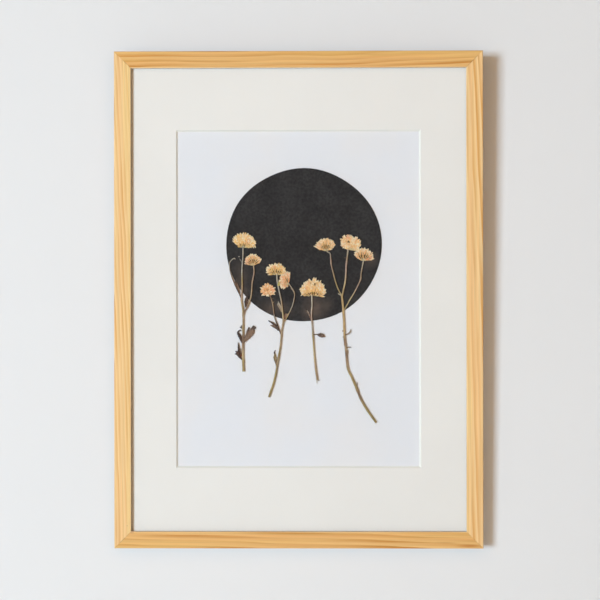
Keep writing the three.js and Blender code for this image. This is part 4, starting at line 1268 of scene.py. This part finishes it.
class Dome:
    """Petals of one dome of a flower head, laid down one by one from the disc towards the glass."""

    def __init__(self, shape, patterns, plants, rng):
        self.shape = shape
        self.patterns = patterns
        self.plants = plants
        self.rng = rng
        self.petals = []
        self.eye = Vector((*shape["eye"], 0.0))

    def inside(self, x, z):
        """Whether a place is inside the outline."""
        turn = math.radians(self.shape["tilt"])
        dx, dz = x - self.shape["centre"][0], z - self.shape["centre"][1]
        across = dx * math.cos(turn) + dz * math.sin(turn)
        up = dz * math.cos(turn) - dx * math.sin(turn)
        half_width, dome, base = self.shape["half"]
        curve = ROUND_POWER if self.shape["fan"] == ALL_ROUND else DOME_POWER
        return abs(across / half_width) ** curve + abs(up / (dome if up > 0 else base)) ** curve <= 1

    def reach(self, x, z, degrees):
        """How far the outline is from a place in a direction, in mm."""
        way = heading(degrees)
        far = SEARCH_FROM
        while far > SEARCH_TO and not self.inside(x + way.x * far, z + way.z * far):
            far -= SEARCH_STEP
        return far

    def blush_at(self, x, z):
        """How pink the petals are around a place."""
        pink = self.shape["blush"]
        for a, b, radius, amount in self.shape["blushes"]:
            near = math.hypot(x - a, z - b) / radius
            pink += amount * max(0.0, 1 - near * near)
        return pink

    def lay(self, start, degrees, long, wide, depth, pitch, tone, calyx=0.0, shape=None):
        """Lays one petal: its claw at start, in mm, and its tip raised by the pitch, in degrees.

        Depth goes from 0 at the disc to 1 at the glass, and tone from 0, a dark gap of painted shade, to 1,
        a pale tip.
        """
        rng = self.rng
        number = rng.randrange(len(self.patterns)) if shape is None else shape
        pattern = self.patterns[number]
        petal = pattern.copy()
        petal.data = pattern.data.copy()
        along, face = lean(heading(degrees), Vector((0.0, -1.0, 0.0)), pitch)
        side, face = lean(along.cross(face), face, rng.uniform(-20, 20))
        lift = self.plants.petal_lift * rng.uniform(0.6, 1.2)
        basis = Matrix((side * wide * MM, along * long * MM, face * lift)).transposed().to_4x4()
        y = ROOM_BACK_Y - depth * ROOM_DEPTH
        petal.data.transform(Matrix.Translation(at(start.x, start.y, y)) @ basis)
        tip = start + flat(along) * long
        pink = self.blush_at(tip.x, tip.y) + rng.uniform(-0.2, 0.2)
        yellow = self.shape["straw"] + rng.uniform(-0.35, 0.35)
        marks = [min(1.0, max(0.0, mark)) for mark in (tone, pink, yellow, calyx)]
        petal.data.attributes["petal_marks"].data.foreach_set("color", marks * len(petal.data.vertices))
        bpy.context.collection.objects.link(petal)
        self.petals.append(petal)

    def root(self, degrees):
        """Where the petal of a direction grows from, along the width of the seat."""
        return self.eye + Vector((self.shape["seat"] * math.sin(math.radians(degrees)), 0, 0))

    def around(self, order, early, late):
        """A direction in each part of the fan, with its root and how far the outline is from there."""
        low, high = self.shape["fan"]
        for i in order:
            degrees = low + (i + self.rng.uniform(early, late)) / len(order) * (high - low)
            root = self.root(degrees)
            yield degrees, root, self.reach(root.x, root.y, degrees)

    def ring(self, share_out, bare, wide, depth, pitch, tone, uneven):
        """A ring of petals whose tips stand at a share of the way out to the outline.

        Bare is the share of the way, from the root, that its petals leave uncovered.
        """
        low, high = self.shape["fan"]
        middle = self.reach(self.eye.x, self.eye.y, (low + high) / 2)
        sweep = math.radians(high - low)
        edge = sweep * middle * share_out + 2 * self.shape["seat"]
        count = max(FEWEST_PETALS, round(self.shape["crowd"] * edge / wide))
        order = list(range(count))
        self.rng.shuffle(order)
        for degrees, root, out in self.around(order, 0.15, 0.85):
            tip = out * share_out * self.rng.uniform(0.92, 1.04)
            long = min(self.plants.petal_length / MM, tip - out * bare)
            if long < SHORTEST_PETAL:
                continue
            start = root + flat(heading(degrees)) * (tip - long)
            self.lay(start, degrees + self.rng.uniform(-10, 10), long, wide * self.rng.uniform(0.8, 1.15),
                     depth + self.rng.uniform(-0.03, 0.03), pitch + self.rng.uniform(-4, 4),
                     tone + self.rng.uniform(-uneven, uneven))

    def strays(self, wide, depth):
        """Single petals that stick out past the others, to the points that the shape names.

        A petal points away from the place before its tip, or else from the eye.
        """
        for *start, x, z in self.shape["strays"]:
            gap = Vector((x, z, 0)) - (Vector((*start, 0)) if start else self.eye)
            degrees = math.degrees(math.atan2(gap.x, gap.y))
            long = min(gap.length, LONGEST_STRAY)
            start = Vector((x, z, 0)) - gap.normalized() * long
            self.lay(start, degrees, long, wide, depth, pitch=3.0, tone=0.9, shape=STRAY_SHAPE)

    def side_on(self):
        """A dome seen from the side: crowded petals at the rim, ribs, and dark gaps of painted shade near
        the stem.
        """
        wide = self.plants.petal_width / MM
        levels = self.plants.levels
        ribs = self.shape["ribs"]
        # Petals in the gap colour at the back: painted shade showing between the petals above.
        self.ring(0.8, 0.0, wide, depth=0.02, pitch=1.0, tone=0.02, uneven=0.04)
        self.strays(wide * 0.8, depth=0.1)
        for level in range(levels):
            part = level / (levels - 1)
            out = TIPS_OUT + (ribs + 0.16 - TIPS_OUT) * part
            self.ring(out, ribs * self.rng.uniform(0.74, 1.0), wide, depth=0.08 + 0.55 * part,
                      pitch=8.0, tone=0.86 - 0.24 * part, uneven=0.26)
        slots = range(round(7 + 1.4 * self.shape["seat"]))
        for degrees, root, out in self.around(slots, 0.0, 0.5):
            # Dark slits between the ribs: narrow petals in the gap colour, painted shade.
            out = out * (ribs + 0.12) * self.rng.uniform(0.8, 1.3)
            start = root + flat(heading(degrees)) * (0.3 * out)
            self.lay(start, degrees, max(1.2, 0.7 * out), wide=0.44, depth=0.66, pitch=3.0, tone=0.05,
                     shape=RIB_SHAPE)
        for degrees, root, out in self.around(slots, 0.25, 0.75):
            # The ribs.
            long = out * (ribs + 0.12) * self.rng.uniform(0.8, 1.1)
            self.lay(root - Vector((0, 0.5, 0)), degrees, max(1.6, long), wide=0.62, depth=0.7, pitch=6.0,
                     tone=self.rng.uniform(0.6, 0.95), calyx=self.rng.uniform(0.0, 0.4), shape=RIB_SHAPE)
        low, high = self.shape["fan"]
        for i in range(CALYX_LEAVES):
            degrees = low + (i + 0.5) / CALYX_LEAVES * (high - low)
            root = self.root(degrees) * 0.5 + self.eye * 0.5 - Vector((0, 0.7, 0))
            self.lay(root, degrees, self.rng.uniform(1.4, 2.4), wide=0.6, depth=0.8, pitch=5.0, tone=0.5,
                     calyx=0.8, shape=RIB_SHAPE)

    def face_on(self):
        """A dome seen from the front: rings of rays over a ring of painted shade, around a small dark
        middle.
        """
        wide = self.plants.petal_width / MM * 1.15
        levels = self.plants.levels
        # Petals in the gap colour at the back: painted shade showing between the petals above.
        self.ring(0.85, 0.0, wide, depth=0.02, pitch=1.0, tone=0.04, uneven=0.04)
        self.strays(wide * 0.8, depth=0.14)
        for level in range(levels):
            part = level / (levels - 1)
            self.ring(TIPS_OUT - 0.66 * part, 0.12, wide * (1 - 0.35 * part), depth=0.1 + 0.6 * part,
                      pitch=7.0 + 6 * part, tone=0.7, uneven=0.32)
        for _ in range(EYE_PETALS):
            degrees = self.rng.uniform(-180, 180)
            off = heading(degrees) * self.rng.uniform(-0.5, 0.4)
            self.lay(self.eye + flat(off), degrees, 1.1, wide=0.6, depth=0.75, pitch=12.0,
                     tone=self.shape["middle"], shape=EYE_SHAPE)


def lean(first, second, degrees):
    """Two directions at right angles, turned in the plane of both."""
    turn = math.radians(degrees)
    return (first * math.cos(turn) + second * math.sin(turn),
            second * math.cos(turn) - first * math.sin(turn))


def make_head(name, domes, patterns, plants, material, seed):
    """A flower head of one or two domes, pressed to fit the room."""
    rng = random.Random(seed)
    petals = []
    for shape in domes:
        dome = Dome(shape, patterns, plants, rng)
        if shape["fan"] == ALL_ROUND:
            dome.face_on()
        else:
            dome.side_on()
        petals += dome.petals
    piece = joined(name, petals)
    fit_room(piece)
    hand_over(piece, "dried_petals", material, name)


def make_crumb(place, long, turn, dye_name, pattern, seed):
    """One crumb of dried leaf or petal, bent and small."""
    crumb = pattern.copy()
    crumb.data = pattern.data.copy()
    crumb.name = "crumb"
    bpy.context.collection.objects.link(crumb)
    along = heading(turn)
    face = Vector((0.0, -1.0, 0.0))
    size = long * MM
    basis = Matrix((along.cross(face) * size * 0.8, along * size, face * size * 0.3))
    middle = at(*place, ROOM_BACK_Y - 0.3 * MM)
    crumb.data.transform(Matrix.Translation(middle) @ basis.transposed().to_4x4())
    dye, grain = dye_and_grain(crumb.data)
    for vertex in crumb.data.vertices:
        dye[vertex.index].color = opaque(dye_colour(dye_name))
        grain[vertex.index].vector = vertex.co + Vector((seed, 0, 0))
    return crumb


# Lamps: tints, and the places (from the middle of the frame) and sizes of those without a setting.
KEY_TINT = (0.756, 0.999, 1.245)
FILL_TINT = (1.0, 0.626, 0.303)
FILL_PLACE = Vector((-0.2, -2.5, 0.45))
FILL_SIZE = 3.2
BACK_TINT = (1.0, 0.98, 0.95)
BACK_PLACE = Vector((0.0, 2.5, 0.9))
BACK_SIZE = 0.5

# The air's light: its tint, and its strength on the frame and as the camera sees it.
AIR_TINT = (0.9, 0.88, 0.85)
AIR_ON_FRAME = 0.05
AIR_SEEN = 0.6

# Widths of the wall and the floor, the gap behind the rails, and how low the floor lies.
WALL_SIZE = 6.0
FLOOR_SIZE = 8.0
WALL_GAP = 0.2 * MM
FLOOR_Z = -1.6


def lamp(name, place, aim, size, watts, tint):
    """A square soft lamp pointed at a place. It isn't seen in the glass, nor counted twice through it."""
    light = bpy.data.lights.new(name, "AREA")
    light.size = size
    light.energy = watts
    light.color = tint
    light.cycles.use_multiple_importance_sampling = False
    thing = bpy.data.objects.new(name, light)
    bpy.context.collection.objects.link(thing)
    thing.location = place
    thing.rotation_euler = (aim - place).to_track_quat("-Z", "Y").to_euler()
    thing.visible_glossy = False
    thing.visible_transmission = False
    return thing


def plane(name, size, place, turn, material):
    """A flat sheet of the stage."""
    select_only(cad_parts["mat_board"])
    bpy.ops.mesh.primitive_plane_add(size=size, location=place, rotation=turn)
    sheet = bpy.context.object
    sheet.name = name
    bpy.ops.object.transform_apply(location=True, rotation=True, scale=True)
    sheet.data.materials.append(material)
    sheet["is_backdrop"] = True
    return sheet


def light_front(stage, middle):
    """The key lamp at the left, and a wide warm fill lamp."""
    level = math.cos(stage.key_drop)
    towards_key = Vector((-math.sin(stage.key_angle) * level, -math.cos(stage.key_angle) * level,
                          -math.sin(stage.key_drop)))
    lamp("key_lamp", middle + towards_key * stage.key_distance, middle, stage.key_size,
         stage.key_power, KEY_TINT)
    lamp("fill_lamp", middle + FILL_PLACE, middle, FILL_SIZE, stage.fill_power, FILL_TINT)


def light_back(stage, middle, wall):
    """A lamp for the back of the frame, which shines through the wall."""
    back = lamp("back_lamp", middle + BACK_PLACE, middle, BACK_SIZE, stage.back_power, BACK_TINT)
    back.visible_glossy = True
    for side in SIDES:
        # Light that bounced off the rails would leave a bright rim on the wall.
        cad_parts[f"rail_{side}"].visible_diffuse = False
    unblocked = bpy.data.collections.new("back_lamp_passes_these")
    unblocked.objects.link(wall)
    back.light_linking.blocker_collection = unblocked
    unblocked.collection_objects[0].light_linking.link_state = "EXCLUDE"


def fill_air(scene):
    """Faint light from all round, which looks brighter than it is where the camera sees it."""
    world = bpy.data.worlds.new("soft_room")
    scene.world = world
    world.use_nodes = True
    tree = world.node_tree
    air = tree.nodes["Background"]
    air.inputs["Color"].default_value = opaque(AIR_TINT)
    seen = tree.nodes.new("ShaderNodeLightPath")
    strength = tree.nodes.new("ShaderNodeMapRange")
    strength.inputs["To Min"].default_value = AIR_ON_FRAME
    strength.inputs["To Max"].default_value = AIR_SEEN
    tree.links.new(seen.outputs["Is Camera Ray"], strength.inputs["Value"])
    tree.links.new(strength.outputs["Result"], air.inputs["Strength"])
    world.cycles.sampling_method = "NONE"


def front_camera(stage, middle):
    """The camera in front, a little to the right and tipped a little."""
    view = bpy.data.cameras.new("front_camera")
    view.lens = stage.lens
    view.clip_start = 0.01
    camera = bpy.data.objects.new("front_camera", view)
    bpy.context.collection.objects.link(camera)
    aim = middle + Vector((stage.camera_shift_x, 0, -stage.camera_shift_z))
    towards_camera = Vector((math.sin(stage.camera_azimuth), -math.cos(stage.camera_azimuth), 0))
    turn = Matrix.Rotation(stage.camera_azimuth, 4, "Z") @ Matrix.Rotation(math.radians(90), 4, "X")
    roll = Matrix.Rotation(-stage.camera_roll, 4, "Z")
    place = Matrix.Translation(aim + towards_camera * stage.camera_distance)
    camera.matrix_world = place @ turn @ roll
    return camera


class FinishRails(bpy.types.Operator):
    """Gives each rail its own length of pine"""

    bl_idname = "pressed_frame.finish_rails"
    bl_label = "Finish Rails"

    def execute(self, context):
        for side in SIDES:
            coat(f"rail_{side}", pine(side, context.scene.pressed_frame_rails))
        return {"FINISHED"}


class FinishSheets(bpy.types.Operator):
    """Gives the mat, the white sheet, the black disc and the hardboard their finishes"""

    bl_idname = "pressed_frame.finish_sheets"
    bl_label = "Finish Sheets"

    def execute(self, context):
        sheets = context.scene.pressed_frame_sheets
        coat("mat_board", mat_finish(sheets))
        coat("backing_paper", paper_finish(sheets))
        coat("black_paper_disc", disc_finish(sheets))
        coat("backing_board", hardboard_finish(sheets))
        return {"FINISHED"}


class FinishGlass(bpy.types.Operator):
    """Makes the glazing clear"""

    bl_idname = "pressed_frame.finish_glass"
    bl_label = "Finish Glass"

    def execute(self, context):
        coat("glazing", glass_finish())
        return {"FINISHED"}


class FinishHardware(bpy.types.Operator):
    """Gives the point tabs, V nails, brads and hanger their metals"""

    bl_idname = "pressed_frame.finish_hardware"
    bl_label = "Finish Hardware"

    def execute(self, context):
        sheets = context.scene.pressed_frame_sheets
        upright = metal_finish("steel_upright", sheets.steel, 0.42, (1800, 400, 90))
        level = metal_finish("steel_level", sheets.steel, 0.42, (90, 400, 1800))
        zinc = metal_finish("zinc_plate", sheets.zinc, 0.34, (120, 900, 1500))
        for side in SIDES:
            steel = level if side in ("top", "bottom") else upright
            coat(f"v_nail_{side}", steel)
            coat(f"point_tab_{side}_1", steel)
            coat(f"point_tab_{side}_2", steel)
        coat("sawtooth_hanger", zinc)
        coat("hanger_brad_1", level)
        coat("hanger_brad_2", level)
        return {"FINISHED"}


class MakeStems(bpy.types.Operator):
    """Makes the ribbed, knotted stems"""

    bl_idname = "pressed_frame.make_stems"
    bl_label = "Make Stems"

    def execute(self, context):
        section = ribbed_section()
        material = dried_finish("dried_stem", 0.72, (1700, 1700, 70), 0.05 * MM)
        for seed, (name, stem) in enumerate(STEMS.items()):
            make_stem(name, stem, section, material, 100 + seed)
        bpy.data.objects.remove(section)
        return {"FINISHED"}


class MakeLeaves(bpy.types.Operator):
    """Makes the shrivelled leaves, bracts and side twigs"""

    bl_idname = "pressed_frame.make_leaves"
    bl_label = "Make Leaves"

    def execute(self, context):
        plants = context.scene.pressed_frame_plants
        material = dried_finish("dried_leaf", 0.8, (1100, 1100, 160), 0.08 * MM)
        for seed, (name, blades) in enumerate(LEAVES.items()):
            make_leaf(name, blades, plants, material, 200 + seed)
        return {"FINISHED"}


class MakeHeads(bpy.types.Operator):
    """Makes the nine flower heads, petal by petal"""

    bl_idname = "pressed_frame.make_heads"
    bl_label = "Make Flower Heads"

    def execute(self, context):
        plants = context.scene.pressed_frame_plants
        material = petal_finish(plants)
        patterns = [petal_shape(number) for number in range(len(PETAL_SHAPES))]
        for seed, (name, domes) in enumerate(HEADS.items()):
            make_head(name, domes, patterns, plants, material, 300 + seed)
        for pattern in patterns:
            bpy.data.objects.remove(pattern)
        return {"FINISHED"}


class MakeCrumbs(bpy.types.Operator):
    """Makes the few crumbs that lie loose on the paper"""

    bl_idname = "pressed_frame.make_crumbs"
    bl_label = "Make Crumbs"

    def execute(self, context):
        pattern = petal_shape(2)
        crumbs = [make_crumb(*crumb, pattern, 400 + i) for i, crumb in enumerate(CRUMBS)]
        bpy.data.objects.remove(pattern)
        piece = joined("loose_crumbs", crumbs)
        hand_over(piece, "dried_leaf", dried_finish("dried_crumb", 0.8, (1100, 1100, 300), 0.05 * MM))
        return {"FINISHED"}


class SetStage(bpy.types.Operator):
    """Sets the plain wall, the pale floor, the soft lamps and the camera"""

    bl_idname = "pressed_frame.set_stage"
    bl_label = "Set Stage"

    def execute(self, context):
        stage = context.scene.pressed_frame_stage
        middle = Vector((0, RAIL_FRONT_Y, FRAME_MIDDLE_Z))
        wall = plane("wall", WALL_SIZE, (0, RAIL_BACK_Y + WALL_GAP, FRAME_LOW_Z),
                     (math.radians(90) - stage.wall_lean, 0, 0),
                     plain_finish("plain_wall", stage.wall, 0.95, True))
        plane("floor", FLOOR_SIZE, (0, 0, FLOOR_Z), (0, 0, 0),
              plain_finish("plain_floor", stage.floor, 0.9))
        light_front(stage, middle)
        light_back(stage, middle, wall)
        fill_air(context.scene)
        context.scene.camera = front_camera(stage, middle)
        context.scene.view_settings.view_transform = "Standard"
        return {"FINISHED"}


OPERATORS = (
    FinishRails, FinishSheets, FinishGlass, FinishHardware, MakeStems, MakeLeaves, MakeHeads,
    MakeCrumbs, SetStage,
)
GROUPS = {
    "pressed_frame_rails": PressedFrameRails,
    "pressed_frame_sheets": PressedFrameSheets,
    "pressed_frame_plants": PressedFramePlants,
    "pressed_frame_stage": PressedFrameStage,
}


class PressedFramePanel(bpy.types.Panel):
    """Buttons for each step, and the sizes and colours they use"""

    bl_idname = "VIEW3D_PT_pressed_frame"
    bl_label = "Pressed Flower Frame"
    bl_space_type = "VIEW_3D"
    bl_region_type = "UI"
    bl_category = "Flower Frame"

    def draw(self, context):
        for operator in OPERATORS:
            self.layout.operator(operator.bl_idname)
        for group in GROUPS:
            box = self.layout.box()
            settings = getattr(context.scene, group)
            for name in settings.__annotations__:
                box.prop(settings, name)


def register():
    for group, kind in GROUPS.items():
        bpy.utils.register_class(kind)
        setattr(bpy.types.Scene, group, PointerProperty(type=kind))
    for kind in (*OPERATORS, PressedFramePanel):
        bpy.utils.register_class(kind)


def unregister():
    for kind in (PressedFramePanel, *reversed(OPERATORS)):
        bpy.utils.unregister_class(kind)
    for group, kind in GROUPS.items():
        delattr(bpy.types.Scene, group)
        bpy.utils.unregister_class(kind)


def main():
    register()
    bpy.ops.pressed_frame.finish_rails()
    bpy.ops.pressed_frame.finish_sheets()
    bpy.ops.pressed_frame.finish_glass()
    bpy.ops.pressed_frame.finish_hardware()
    bpy.ops.pressed_frame.make_stems()
    bpy.ops.pressed_frame.make_leaves()
    bpy.ops.pressed_frame.make_heads()
    bpy.ops.pressed_frame.make_crumbs()
    bpy.ops.pressed_frame.set_stage()
    boxes = {"cad": CAD_BOX, "visual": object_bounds()}
    {name: [list(corner) for corner in box] for name, box in boxes.items()}


if __name__ == "__main__":
    main()
